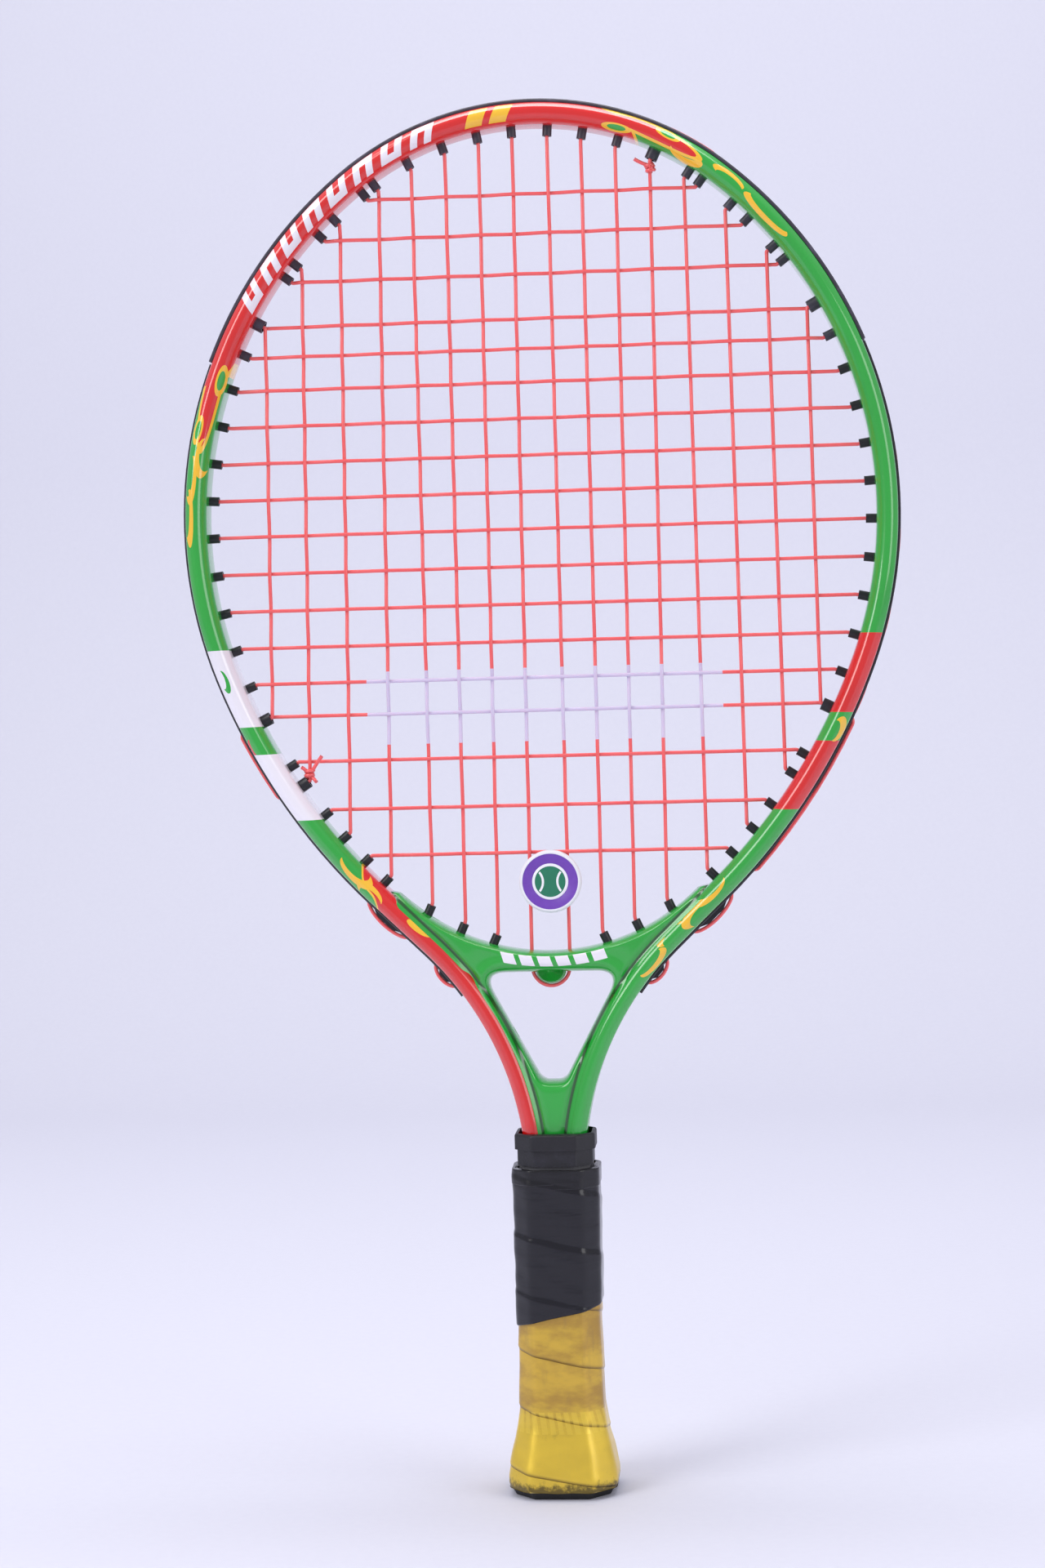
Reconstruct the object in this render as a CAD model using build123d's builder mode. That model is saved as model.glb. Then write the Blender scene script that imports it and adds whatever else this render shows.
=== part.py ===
"""Junior tennis racket: bent aluminium tube frame, moulded throat yoke, grommets, one-piece stringing,
wrapped octagonal grip and a push-in vibration dampener.

Millimetres. The racket stands upright: +Z runs from the butt end to the tip, X lies across the head,
and the string bed is in the plane Y = 0 with its front facing -Y. The origin is the centre of the butt end.
"""
from math import acos, asin, cos, degrees, radians, sin
import os

from build123d import *

os.makedirs("parts", exist_ok=True)

# ---------------------------------------------------------------- driving dimensions
tip_z = 482.6                 # top of the bumper, which makes it a 19 inch racket
tube_width = 7.4              # of the frame tube, across the head
tube_depth = 17.0             # of the frame tube, front to back
tube_wall = 0.9
tube_foot_z = 22.0            # where the two shanks end inside the handle
shank_x = 6.5                 # centre of each shank in the handle

hoop_radii = (102.2, 148.2, 213.3)     # centreline of the head: tip, flank and shoulder of the throat
hoop_angles = (38.4, 72.3, 25.3)       # degrees that each arc turns
throat_radius = 113.7                  # the reverse bend into the handle

bumper_thickness = 1.25
bumper_end = 68.0             # heading where the bumper stops, in degrees from the tip
groove_half = 1.9             # half width of the tube's outer groove at its floor
groove_depth = 1.1

string_radius = 0.65
string_plane = 0.68           # mains lie this far in front of Y = 0, crosses this far behind
barrel_radius = 1.6
barrel_bore = 1.0
double_radius = 2.2           # grommets that two strings share
double_bore = 1.55
barrel_proud = 3.4            # how far a barrel stands into the head
fit_gap = 0.05                # between pieces that sit in each other

main_top_x = (6.05, 17.7, 29.5, 41.3, 52.9, 66.8, 80.6, 94.0)
main_foot_x = (6.6, 19.9, 31.2, 42.6, 55.1, 69.1, 82.8, 95.5)
cross_z = (451.0, 437.4, 423.5, 411.1, 397.8, 386.3, 373.8, 361.1, 348.4,
           335.6, 322.6, 309.6, 296.7, 284.1, 271.2, 256.7, 239.7, 223.3)
yoke_mains = 4                # the innermost mains of each side end in the yoke

yoke_arc_radius = 74.0        # the yoke's edge facing the strings
yoke_arc_foot = 189.0
yoke_depth = 15.6
yoke_inset = 1.8              # the yoke stops this far inside the tube's centreline

pallet_width, pallet_depth, pallet_chamfer = 26.4, 23.2, 5.6
neck_width, neck_depth, neck_chamfer = 23.6, 20.6, 5.0
pallet_foot_z = 8.0
grip_foot_z = 2.0
grip_top_z = 113.5
handle_top_z = 119.6
grip_wall = 1.45
sleeve_wall = 0.35
collar_foot_z = 115.0
collar_top_z = 126.0

damper_x, damper_z = 0.8, 213.3
damper_radius = 10.85

# ---------------------------------------------------------------- the head's centreline
top_z = tip_z - bumper_thickness - tube_width / 2


def hoop_layout():
    """The arcs of the head's right half: (centre x, centre z, radius, first heading, last heading).
    A heading is the angle from the tip, clockwise, and also the direction of the outward normal."""
    arcs = []
    heading = 0.0
    centre_x, centre_z = 0.0, top_z - hoop_radii[0]
    for index, (radius, turn) in enumerate(zip(hoop_radii, hoop_angles)):
        if index:
            step = hoop_radii[index - 1] - radius
            centre_x += step * sin(radians(heading))
            centre_z += step * cos(radians(heading))
        arcs.append((centre_x, centre_z, radius, heading, heading + turn))
        heading += turn
    return arcs


hoop_arcs = hoop_layout()
last_heading = hoop_arcs[-1][4]
throat_turn = last_heading - 90.0


def on_hoop(heading, inset=0.0):
    """Point (x, z) on the right half of the head, moved inwards by inset."""
    for centre_x, centre_z, radius, first, last in hoop_arcs:
        if first <= heading <= last + 1e-9:
            reach = radius - inset
            return centre_x + reach * sin(radians(heading)), centre_z + reach * cos(radians(heading))
    raise ValueError(heading)


straight_start = on_hoop(last_heading)
straight_length = ((straight_start[0] - shank_x - throat_radius * (1 - cos(radians(throat_turn))))
                   / sin(radians(throat_turn)))
straight_end = (straight_start[0] - straight_length * sin(radians(throat_turn)),
                straight_start[1] - straight_length * cos(radians(throat_turn)))
throat_foot_z = straight_end[1] - throat_radius * sin(radians(throat_turn))


def heading_for(x=None, z=None, inset=0.0, lower=False):
    """Heading at which the inset head curve has this x, on its upper or lower part, or this z."""
    for centre_x, centre_z, radius, first, last in hoop_arcs:
        reach = radius - inset
        ratio = (x - centre_x) / reach if z is None else (z - centre_z) / reach
        if abs(ratio) > 1:
            continue
        heading = degrees(asin(ratio)) if z is None else degrees(acos(ratio))
        if lower and z is None:
            heading = 180 - heading
        if first <= heading <= last:
            return heading
    raise ValueError((x, z))


def side_point(side, heading, out, y=0.0):
    """Point beside the head: side is -1 left or 1 right, out is the distance outside the centreline."""
    x, z = on_hoop(heading, -out)
    return Vector(side * x, y, z)


def side_normal(side, heading):
    return Vector(side * sin(radians(heading)), 0, cos(radians(heading)))


throat_centre = (shank_x + throat_radius, throat_foot_z)


def straight_point(side, along, out, y=0.0):
    """Point beside the straight part between the head and the reverse bend, along it from the head."""
    turn = radians(throat_turn)
    return Vector(side * (straight_start[0] - along * sin(turn) + out * cos(turn)), y,
                  straight_start[1] - along * cos(turn) - out * sin(turn))


# ---------------------------------------------------------------- grommet places
mouth = tube_width / 2 + barrel_proud        # inset of a barrel's mouth
bend = mouth + 0.6                           # inset of the point where a string turns to the bed
string_out = tube_width / 2 + 0.2            # distance of the outer string runs from the centreline
stub = 1.6                                   # length of bed run that belongs to a turn

shared_top = 3       # index of the cross that shares its grommets with the outermost mains, at the tip
shared_foot = 14     # and near the throat
tie_head = (1, 3)    # side and index of the main whose tip grommet also takes a tied end
tie_foot = (-1, 6)   # side and index of the main whose foot grommet also takes a tied end
barrel_lean = 25.0   # of the barrels in the yoke
ferrule_depth = {0: 0.0, 1: 7.0, 2: 4.0, 3: 1.7}     # of those barrels in the yoke, per main
yoke_centre_z = yoke_arc_foot + yoke_arc_radius


class Grommet:
    """One string hole: where the string turns to the bed, the points of its way out through the frame,
    and the barrel's outward axis."""

    def __init__(self, side, turn_point, way_out, outward, heading=None, double=False):
        self.side = side
        self.turn_point = turn_point
        self.way_out = way_out
        self.outward = outward
        self.heading = heading
        self.double = double

    @property
    def exit_point(self):
        return self.way_out[-1]


def hoop_grommet(side, heading, y, double=False):
    return Grommet(side, side_point(side, heading, -bend, y), [side_point(side, heading, string_out, y)],
                   side_normal(side, heading), heading, double)


def yoke_grommet(side, index):
    """Grommets of the mains that end in the yoke. Their barrels lean outwards, and from a barrel's end
    the string goes on square to the frame tube."""
    x = main_foot_x[index]
    edge_z = yoke_centre_z - (yoke_arc_radius ** 2 - x ** 2) ** 0.5
    if index == 0:
        loop_z = yoke_arc_foot - 12.3
        return Grommet(side, Vector(side * x, -string_plane, edge_z + 0.6),
                       [Vector(side * x, -string_plane, loop_z)], Vector(0, 0, -1))
    lean = radians(barrel_lean)
    outward = Vector(side * sin(lean), 0, -cos(lean))
    edge_point = Vector(side * x, -string_plane, edge_z)
    inner_point = edge_point + outward * (ferrule_depth[index] + 0.3)
    if index == 3:
        turn = radians(throat_turn)
        along = ((straight_start[0] - abs(inner_point.X)) * sin(turn)
                 + (straight_start[1] - inner_point.Z) * cos(turn))
        exit_point = straight_point(side, along, string_out, -string_plane)
    else:
        centre = Vector(side * throat_centre[0], -string_plane, throat_centre[1])
        toward = (centre - inner_point).normalized()
        exit_point = centre - toward * (throat_radius - string_out)
    return Grommet(side, edge_point - outward * (barrel_proud + 0.6), [inner_point, exit_point], outward)


main_heads = {}
main_feet = {}
cross_ends = {}
for side in (-1, 1):
    for index, x in enumerate(main_top_x):
        heading = heading_for(x=x, inset=bend)
        double = index == len(main_top_x) - 1 or (side, index) == tie_head
        main_heads[side, index] = hoop_grommet(side, heading, -string_plane, double)
    for index, x in enumerate(main_foot_x):
        if index < yoke_mains:
            main_feet[side, index] = yoke_grommet(side, index)
        else:
            heading = heading_for(x=x, inset=bend, lower=True)
            double = index == len(main_foot_x) - 1 or (side, index) == tie_foot
            main_feet[side, index] = hoop_grommet(side, heading, -string_plane, double)
    for index, z in enumerate(cross_z):
        if index == shared_top:
            heading = main_heads[side, 7].heading
        elif index == shared_foot:
            heading = main_feet[side, 7].heading
        else:
            heading = heading_for(z=z, inset=bend)
        double = index in (shared_top, shared_foot)
        cross_ends[side, index] = hoop_grommet(side, heading, string_plane, double)

hoop_grommets = [g for g in (*main_heads.values(), *main_feet.values()) if g.heading is not None]
hoop_grommets += [g for (side, index), g in cross_ends.items() if index not in (shared_top, shared_foot)]
yoke_grommets = [g for g in main_feet.values() if g.heading is None]
leaning_grommets = [g for g in yoke_grommets if len(g.way_out) == 2]


def barrel_plane(grommet):
    """Plane on the frame's centreline with its normal along the barrel, into the head."""
    centre_y = 0.0 if grommet.double else grommet.turn_point.Y
    origin = side_point(grommet.side, grommet.heading, 0.0, centre_y)
    return Plane(origin=origin, x_dir=(0, 1, 0), z_dir=-grommet.outward)


def plane_between(start, end):
    """Plane halfway between two points, square to the line through them."""
    return Plane(origin=(start + end) / 2, x_dir=(0, 1, 0), z_dir=(end - start).normalized())


# ---------------------------------------------------------------- frame tube
def tube_outline(grow=0.0):
    """Half outline of the tube's section, u outwards from the head and v towards the front."""
    half_u, half_v = tube_width / 2 + grow, tube_depth / 2 + grow
    return [(-half_u, half_v - 3.1), (-1.2, half_v), (1.4, half_v), (half_u, half_v - 2.5)]


def mirrored(half):
    return [*half, *[(u, -v) for u, v in reversed(half)]]


def frame_path():
    """Centreline from the left shank's foot, round the head, to the right shank's foot."""
    with BuildLine(Plane.XZ) as path:
        line = Line((-shank_x, tube_foot_z), (-shank_x, throat_foot_z))
        line = JernArc(line @ 1, line % 1, throat_radius, throat_turn)
        line = Line(line @ 1, (line @ 1) + (line % 1) * straight_length)
        for radius, turn in [*zip(hoop_radii, hoop_angles)][::-1] + [*zip(hoop_radii, hoop_angles)]:
            line = JernArc(line @ 1, line % 1, radius, -turn)
        line = Line(line @ 1, (line @ 1) + (line % 1) * straight_length)
        line = JernArc(line @ 1, line % 1, throat_radius, throat_turn)
        line = Line(line @ 1, (shank_x, tube_foot_z))
    return path.line


foot_plane = Plane(origin=(-shank_x, 0, tube_foot_z), x_dir=(-1, 0, 0), z_dir=(0, 0, 1))
frame_line = frame_path()
groove_floor = tube_width / 2 - groove_depth

with BuildPart() as frame_tube:
    with BuildSketch(foot_plane):
        half_section = tube_outline() + [(tube_width / 2, groove_half + 0.7), (groove_floor, groove_half)]
        with BuildLine():
            Polyline(*mirrored(half_section), close=True)
        make_face()
        ridges = vertices().filter_by(lambda v: abs(v.Y) > groove_half + 1.5)
        fillet(ridges, 1.1)
        offset(amount=-tube_wall, mode=Mode.SUBTRACT)
    sweep(path=frame_line)
    for double, radius in ((False, barrel_radius), (True, double_radius)):
        with Locations(*[barrel_plane(g) for g in hoop_grommets if g.double == double]):
            Cylinder(radius + fit_gap, 14, mode=Mode.SUBTRACT)
    with Locations(*[plane_between(g.way_out[0], g.exit_point) for g in leaning_grommets]):
        Cylinder(barrel_bore + 0.2, 24, mode=Mode.SUBTRACT)

with BuildPart() as tube_envelope:
    with BuildSketch(foot_plane):
        with BuildLine():
            Polyline(*mirrored(tube_outline(grow=fit_gap)), close=True)
        make_face()
        fillet(vertices(), 1.1)
    sweep(path=frame_line)

# ---------------------------------------------------------------- throat yoke
opening_top_z = 181.6
opening_foot_z = 144.0
with BuildPart() as throat_yoke:
    with BuildSketch(Plane.XZ) as yoke_blank:
        with BuildLine():
            left = Line((-shank_x, 104), (-shank_x, throat_foot_z))
            bend_left = JernArc(left @ 1, left % 1, throat_radius, throat_turn)
            flank_left = Line(bend_left @ 1, (bend_left @ 1) + (bend_left % 1) * (straight_length + 4))
            mirror(about=Plane.YZ)
            Line(flank_left @ 1, Vector(-(flank_left @ 1).X, (flank_left @ 1).Y))
            Line(left @ 0, Vector(-(left @ 0).X, (left @ 0).Y))
        make_face()
        offset(amount=-yoke_inset)
        with Locations((0, yoke_centre_z)):
            Circle(yoke_arc_radius, mode=Mode.SUBTRACT)
    extrude(amount=yoke_depth / 2, both=True)
    with BuildSketch(Plane.XZ):
        with BuildLine():
            Polyline((-24.1, opening_top_z), (24.1, opening_top_z), (3.9, opening_foot_z),
                     (-3.9, opening_foot_z), close=True)
        make_face()
        fillet(vertices().group_by(Axis.Y)[-1], 5.2)
        fillet(vertices().group_by(Axis.Y)[0], 4.2)
    extrude(amount=yoke_depth, both=True, mode=Mode.SUBTRACT)
    rims = edges().filter_by(lambda e: abs(e.center().Y) > yoke_depth / 2 - 0.01)
    rims = rims.filter_by(lambda e: yoke_arc_foot < e.center().Z < 215 and abs(e.center().X) < 30
                          or 143 < e.center().Z < 182 and abs(e.center().X) < 21.5)
    chamfer(rims, 1.3)
    # string hump under the bridge
    with BuildSketch(Plane.XZ):
        with Locations((0, opening_top_z)):
            Rectangle(12.6, 8)
        fillet(vertices().group_by(Axis.Y)[0], 2.6)
    extrude(amount=4.2, both=True)
    add(tube_envelope.part, mode=Mode.SUBTRACT)
    for grommet in leaning_grommets:
        with Locations(plane_between(grommet.turn_point, grommet.way_out[0])):
            Cylinder(barrel_radius + fit_gap, (grommet.way_out[0] - grommet.turn_point).length,
                     mode=Mode.SUBTRACT)
        with Locations(plane_between(grommet.way_out[0] - grommet.outward * 0.5, grommet.exit_point)):
            Cylinder(barrel_bore + 0.15, (grommet.exit_point - grommet.way_out[0]).length, mode=Mode.SUBTRACT)
    for grommet in yoke_grommets:
        if grommet not in leaning_grommets:
            with Locations((grommet.turn_point.X, -string_plane, yoke_arc_foot - 5)):
                Cylinder(barrel_bore, 24, mode=Mode.SUBTRACT)

# ---------------------------------------------------------------- grommet bands
channel_floor = string_out - string_radius - 0.15
channel_half = 1.5
band_gap = 0.05


def band_section(thickness, half_width):
    """Outline of a band that lies on the tube with its root in the tube's groove and a string channel
    along its outside. u is outwards and v towards the front."""
    top = tube_width / 2 + thickness
    seat = tube_width / 2 + band_gap
    half = [(groove_floor + band_gap, groove_half - band_gap), (seat, groove_half + 0.65),
            (seat, half_width), (top - 0.5, half_width), (top, half_width - 0.6),
            (top, channel_half), (channel_floor, channel_half)]
    return mirrored(half)


def add_barrels(grommets):
    """Barrels from a band through the tube into the head, and the bores through them."""
    length = channel_floor + mouth
    for double, radius, bore in ((False, barrel_radius, barrel_bore), (True, double_radius, double_bore)):
        planes = [barrel_plane(g) for g in grommets if g.double == double]
        with Locations(*[plane.offset(mouth - length / 2) for plane in planes]):
            Cylinder(radius, length)
        with Locations(*planes):
            Cylinder(bore, 30, mode=Mode.SUBTRACT)


with BuildPart() as bumper_guard:
    with BuildLine(Plane.XZ) as bumper_line:
        start = side_point(-1, bumper_end, 0)
        tangent = (sin(radians(90 - bumper_end)), cos(radians(90 - bumper_end)))
        line = JernArc((start.X, start.Z), tangent, hoop_radii[1], -(bumper_end - hoop_angles[0]))
        line = JernArc(line @ 1, line % 1, hoop_radii[0], -2 * hoop_angles[0])
        line = JernArc(line @ 1, line % 1, hoop_radii[1], -(bumper_end - hoop_angles[0]))
    line_start = bumper_line.line @ 0
    line_way = bumper_line.line % 0
    with BuildSketch(Plane(origin=line_start, x_dir=side_normal(-1, bumper_end), z_dir=line_way)):
        with BuildLine():
            Polyline(*band_section(bumper_thickness, 5.6), close=True)
        make_face()
    sweep(path=bumper_line.line)
    add_barrels([g for g in hoop_grommets if g.heading < bumper_end])

strip_thickness = 0.95
strip_end = 35.5             # angle on the reverse bend where a strip stops
loose_loops = {1: 2.6, 3: 3.0}        # bulge of the loops that pass over a saddle, by their inner main
loop_crest = 0.2                      # half length of a loop's flat crest, as a part of its span


def strip(side):
    """Band along one flank, from the bumper down to the throat, with a saddle under each loose loop."""
    with BuildPart() as band:
        with BuildLine(Plane.XZ) as band_line:
            start_heading = bumper_end + 0.25
            start = side_point(side, start_heading, 0)
            away = (side * sin(radians(90 - start_heading)), -cos(radians(90 - start_heading)))
            turn_sign = -side
            first_turn = hoop_angles[0] + hoop_angles[1] - start_heading
            line = JernArc((start.X, start.Z), away, hoop_radii[1], turn_sign * first_turn)
            line = JernArc(line @ 1, line % 1, hoop_radii[2], turn_sign * hoop_angles[2])
            line = Line(line @ 1, (line @ 1) + (line % 1) * straight_length)
            line = JernArc(line @ 1, line % 1, throat_radius, -turn_sign * (throat_turn - strip_end))
        with BuildSketch(Plane(origin=band_line.line @ 0, x_dir=side_normal(side, start_heading),
                               z_dir=band_line.line % 0)):
            with BuildLine():
                Polyline(*band_section(strip_thickness, 3.9), close=True)
            make_face()
        sweep(path=band_line.line)
        add_barrels([g for g in hoop_grommets if g.side == side and g.heading > bumper_end])
        for index, bulge in loose_loops.items():
            ends = main_feet[side, index].exit_point, main_feet[side, index + 1].exit_point
            span = (ends[0] - ends[1]).length
            foot_half, top_half = span / 2 - 1.35, loop_crest * span - 0.35
            foot, top = -side * 0.8, side * (bulge - string_radius - 0.15)
            with BuildSketch(Plane(origin=(ends[0] + ends[1]) / 2 + Vector(0, string_plane, 0),
                                   x_dir=ends[0] - ends[1], z_dir=(0, -1, 0))):
                with BuildLine():
                    Polyline((foot_half, foot), (foot_half, 0), (top_half, top), (-top_half, top),
                             (-foot_half, 0), (-foot_half, foot), close=True)
                make_face()
            extrude(amount=channel_half, both=True)
        for grommet in leaning_grommets:
            if grommet.side == side:
                with Locations(plane_between(grommet.way_out[0], grommet.exit_point)):
                    Cylinder(barrel_bore, (grommet.exit_point - grommet.way_out[0]).length + 8,
                             mode=Mode.SUBTRACT)
    return band.part


left_strip = strip(-1)
right_strip = strip(1)

with BuildPart() as throat_grommets:
    for grommet in leaning_grommets:
        top = grommet.turn_point + grommet.outward * 0.6
        end = grommet.way_out[0] - grommet.outward * 0.1
        with Locations(plane_between(top, end)):
            Cylinder(barrel_radius, (end - top).length)
        with Locations(plane_between(top, end)):
            Cylinder(barrel_bore, (end - top).length + 4, mode=Mode.SUBTRACT)

# ---------------------------------------------------------------- strings
def bed_points(start, end):
    """Ends of the straight part of a string between two grommets."""
    way = (end.turn_point - start.turn_point).normalized()
    return start.turn_point + way * stub, end.turn_point - way * stub


def straight_string(start, end):
    first, last = bed_points(start, end)
    with BuildPart() as run:
        with Locations(plane_between(first, last)):
            Cylinder(string_radius, (last - first).length)
    return run.part


def half_loop(grommet, far_end):
    """Points from the bed run's end, through a grommet, to its exit."""
    way = (far_end.turn_point - grommet.turn_point).normalized()
    first = grommet.turn_point + way * stub
    straight_on = (way * -1).get_angle(grommet.way_out[0] - grommet.turn_point) < 1.0
    middle = [] if straight_on else [grommet.turn_point]
    return [first, *middle, *grommet.way_out]


def loop_string(first_half, second_half, bulge):
    """One string from a bed run out of a grommet, along the outside and back in through the next."""
    exits = first_half[-1], second_half[-1]
    chord = exits[1] - exits[0]
    out = (exits[0] - first_half[-2]).normalized() + (exits[1] - second_half[-2]).normalized()
    crest = (exits[0] + exits[1]) / 2 + out.normalized() * bulge
    flank = chord * loop_crest
    points = [*first_half, crest - flank, crest + flank, *reversed(second_half)]
    y = points[0].Y
    with BuildPart() as loop:
        with BuildLine(Plane.XZ.offset(-y)) as route:
            FilletPolyline(*[(p.X, p.Z) for p in points], radius=0.8)
        with BuildSketch(Plane(origin=route.line @ 0, z_dir=route.line % 0)):
            Circle(string_radius)
        sweep(path=route.line)
    return loop.part


def chain_string(points):
    """A string through points that don't lie in one plane."""
    with BuildPart() as chain:
        for start, end in zip(points, points[1:]):
            with Locations(plane_between(start, end)):
                Cylinder(string_radius, (end - start).length)
        for point in points[1:-1]:
            with Locations(point):
                Sphere(string_radius)
    return chain.part


sides_and_mains = [(side, index) for side in (-1, 1) for index in range(len(main_top_x))]
main_strings = Compound(children=[straight_string(main_heads[key], main_feet[key])
                                  for key in sides_and_mains])
cross_strings = Compound(children=[straight_string(cross_ends[-1, index], cross_ends[1, index])
                                   for index in range(len(cross_z))])


def main_turn(ends, far_ends, first, second, bulge=0.5):
    return loop_string(half_loop(ends[first], far_ends[first]), half_loop(ends[second], far_ends[second]),
                       bulge)


# Numbering a side's mains 0 to 7 outwards from the middle, the tip joins 0-1, 2-3, 4-5 and 6-7, and the
# throat joins the two middle mains, then 1-2, 3-4 and 5-6.
turns = []
for side in (-1, 1):
    for index in (0, 2, 4, 6):
        turns.append(main_turn(main_heads, main_feet, (side, index), (side, index + 1)))
    for index in (1, 3, 5):
        turns.append(main_turn(main_feet, main_heads, (side, index), (side, index + 1),
                               loose_loops.get(index, 0.5)))
turns.append(main_turn(main_feet, main_heads, (-1, 0), (1, 0), 1.2))
main_string_turns = Compound(children=turns)
print("main turns", len(turns))

turns = []
for index in range(len(cross_z) - 1):
    side = -1 if index % 2 == 0 else 1
    first, second = cross_ends[side, index], cross_ends[side, index + 1]
    far_first, far_second = cross_ends[-side, index], cross_ends[-side, index + 1]
    turns.append(loop_string(half_loop(first, far_first), half_loop(second, far_second), 0.45))
cross_string_turns = Compound(children=turns)
print("cross turns", len(turns))


# ---------------------------------------------------------------- tied ends
def along_hoop(side, first, last, out, y_first, y_last, steps):
    """Points outside the frame between two headings, shifting from one string plane to the other."""
    points = []
    for step in range(steps + 1):
        part = step / steps
        points.append(side_point(side, first + (last - first) * part, out, y_first + (y_last - y_first) * part))
    return points


def knot(main_point, way, tail_point, entry):
    """Hitches of the tied end around a main: its way in from the grommet, three rings and a cut tail."""
    ring = 2 * string_radius + 0.04
    with BuildPart() as hitches:
        for turn in range(3):
            centre = main_point + way * (1.0 + turn * 1.15)
            with Locations(Plane(origin=centre, z_dir=(way + Vector(0, 0.16 * (-1) ** turn, 0)).normalized())):
                Torus(ring, string_radius)
        last = main_point + way * 3.3 + Vector(0, -ring, 0)
        first = main_point + way + Vector(0, ring, 0)
        for start, end in ((last, tail_point), (entry + (first - entry).normalized() * 0.4, first)):
            with Locations(plane_between(start, end)):
                Cylinder(string_radius - 0.03, (end - start).length)
    return hitches.part


layer = 2 * string_radius + 0.1      # a run that passes over another lies this much further out
head_tie, foot_tie = main_heads[tie_head], main_feet[tie_foot]
last_main_foot, last_cross = main_feet[1, 7], cross_ends[1, 17]
first_cross, free_main_foot = cross_ends[1, 0], main_feet[-1, 7]


def tie_inner(grommet):
    """Where a tied end comes out of a shared barrel, beside the main."""
    return Vector(grommet.turn_point.X, string_plane, grommet.turn_point.Z) - grommet.outward * 0.3


# the outermost right main goes on as the lowest cross, over the turns between them
lift = string_out + layer
link_run = along_hoop(1, last_main_foot.heading + 1.0, last_cross.heading - 1.0, lift, -string_plane,
                      string_plane, 6)
link = chain_string([*half_loop(last_main_foot, main_heads[1, 7]), *link_run,
                     *reversed(half_loop(last_cross, cross_ends[-1, 17]))])
# the topmost cross ends at a main near the tip
head_run = along_hoop(1, first_cross.heading - 1.0, head_tie.heading + 1.0, lift, string_plane, string_plane, 4)
head_tie_run = chain_string([*half_loop(first_cross, cross_ends[-1, 0]), *head_run,
                             side_point(1, head_tie.heading, string_out, string_plane), tie_inner(head_tie)])
# and the outermost left main at its neighbour
foot_run = along_hoop(-1, free_main_foot.heading + 1.0, foot_tie.heading - 1.0, lift, -string_plane,
                      string_plane, 3)
foot_tie_run = chain_string([*half_loop(free_main_foot, main_heads[-1, 7]), *foot_run,
                             side_point(-1, foot_tie.heading, string_out, string_plane), tie_inner(foot_tie)])
cross_string_turns = Compound(children=[*cross_string_turns.children, link, head_tie_run, foot_tie_run])


def tie_knot(grommet, far_grommet, tail_offset):
    way = (far_grommet.turn_point - grommet.turn_point).normalized()
    start = grommet.turn_point + way * 0.9
    return knot(start, way, start + tail_offset, tie_inner(grommet))


tie_off_knots = Compound(children=[
    tie_knot(head_tie, main_feet[tie_head], Vector(-4.6, -1.9, 1.2)),
    tie_knot(foot_tie, main_heads[tie_foot], Vector(4.8, -1.9, 6.4))])

# ---------------------------------------------------------------- handle
def eight_sided(width, depth, corner, rounding):
    """Sketch of the handle's section: a rectangle with its corners cut and softened."""
    Rectangle(width, depth)
    chamfer(vertices(), corner)
    fillet(vertices(), rounding)


def handle_prism(width, depth, corner, foot, top, rounding=1.2):
    with BuildPart() as prism:
        with BuildSketch(Plane.XY.offset(foot)):
            eight_sided(width, depth, corner, rounding)
        extrude(amount=top - foot)
    return prism.part


cap_sections = ((0.0, 32.8, 29.2), (2.2, 35.2, 31.6), (7.0, 35.9, 32.3), (16.0, 32.4, 28.9),
                (24.0, 28.9, 25.4), (30.0, 27.5, 24.2))      # height, width and depth of the flared end


def flared_end(grow, sections):
    with BuildPart() as flare:
        for z, width, depth in sections:
            with BuildSketch(Plane.XY.offset(z)):
                eight_sided(width + 2 * grow, depth + 2 * grow, pallet_chamfer * width / pallet_width, 1.5)
        loft(ruled=True)
    return flare.part


staple_z, staple_half, staple_wire = 20.0, 4.0, 0.8
staple_face = 13.15                  # half depth of the flared end there, less the crown's recess
with BuildPart() as butt_cap_staples:
    for front in (-1, 1):
        with Locations((0, front * (staple_face - staple_wire / 2), staple_z)):
            Box(2 * staple_half, staple_wire, staple_wire)
        with Locations(*[(x, front * (staple_face - 1.8), staple_z) for x in (-3.6, 3.6)]):
            Box(staple_wire, 3.6, staple_wire)

pallet_blank = handle_prism(pallet_width, pallet_depth, pallet_chamfer, pallet_foot_z, grip_top_z)
rivet_heights = (40.0, 92.0)
rivet_radius, rivet_head = 2.0, 3.6
with BuildPart() as pallet:
    add(pallet_blank)
    with BuildSketch(Plane.XY.offset(grip_top_z)):
        eight_sided(neck_width, neck_depth, neck_chamfer, 1.0)
    extrude(amount=handle_top_z - grip_top_z)
    with Locations((0, 0, tube_foot_z)):
        Box(2 * shank_x - 3.6, yoke_depth + 0.2, handle_top_z - tube_foot_z,
            align=(Align.CENTER, Align.CENTER, Align.MIN), mode=Mode.SUBTRACT)
    add(tube_envelope.part, mode=Mode.SUBTRACT)
    for z in rivet_heights:
        with Locations(*[Plane(origin=(0, y, z), z_dir=(0, 1, 0))
                         for y in (-pallet_depth / 2, pallet_depth / 2)]):
            Cylinder(rivet_head + fit_gap, 2.6, mode=Mode.SUBTRACT)
            Cylinder(rivet_radius + fit_gap, 20, mode=Mode.SUBTRACT)
    add(butt_cap_staples.part, mode=Mode.SUBTRACT)

with BuildPart() as handle_pallet_front:
    add(pallet.part)
    split(bisect_by=Plane.XZ.offset(0.02), keep=Keep.TOP)

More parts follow.
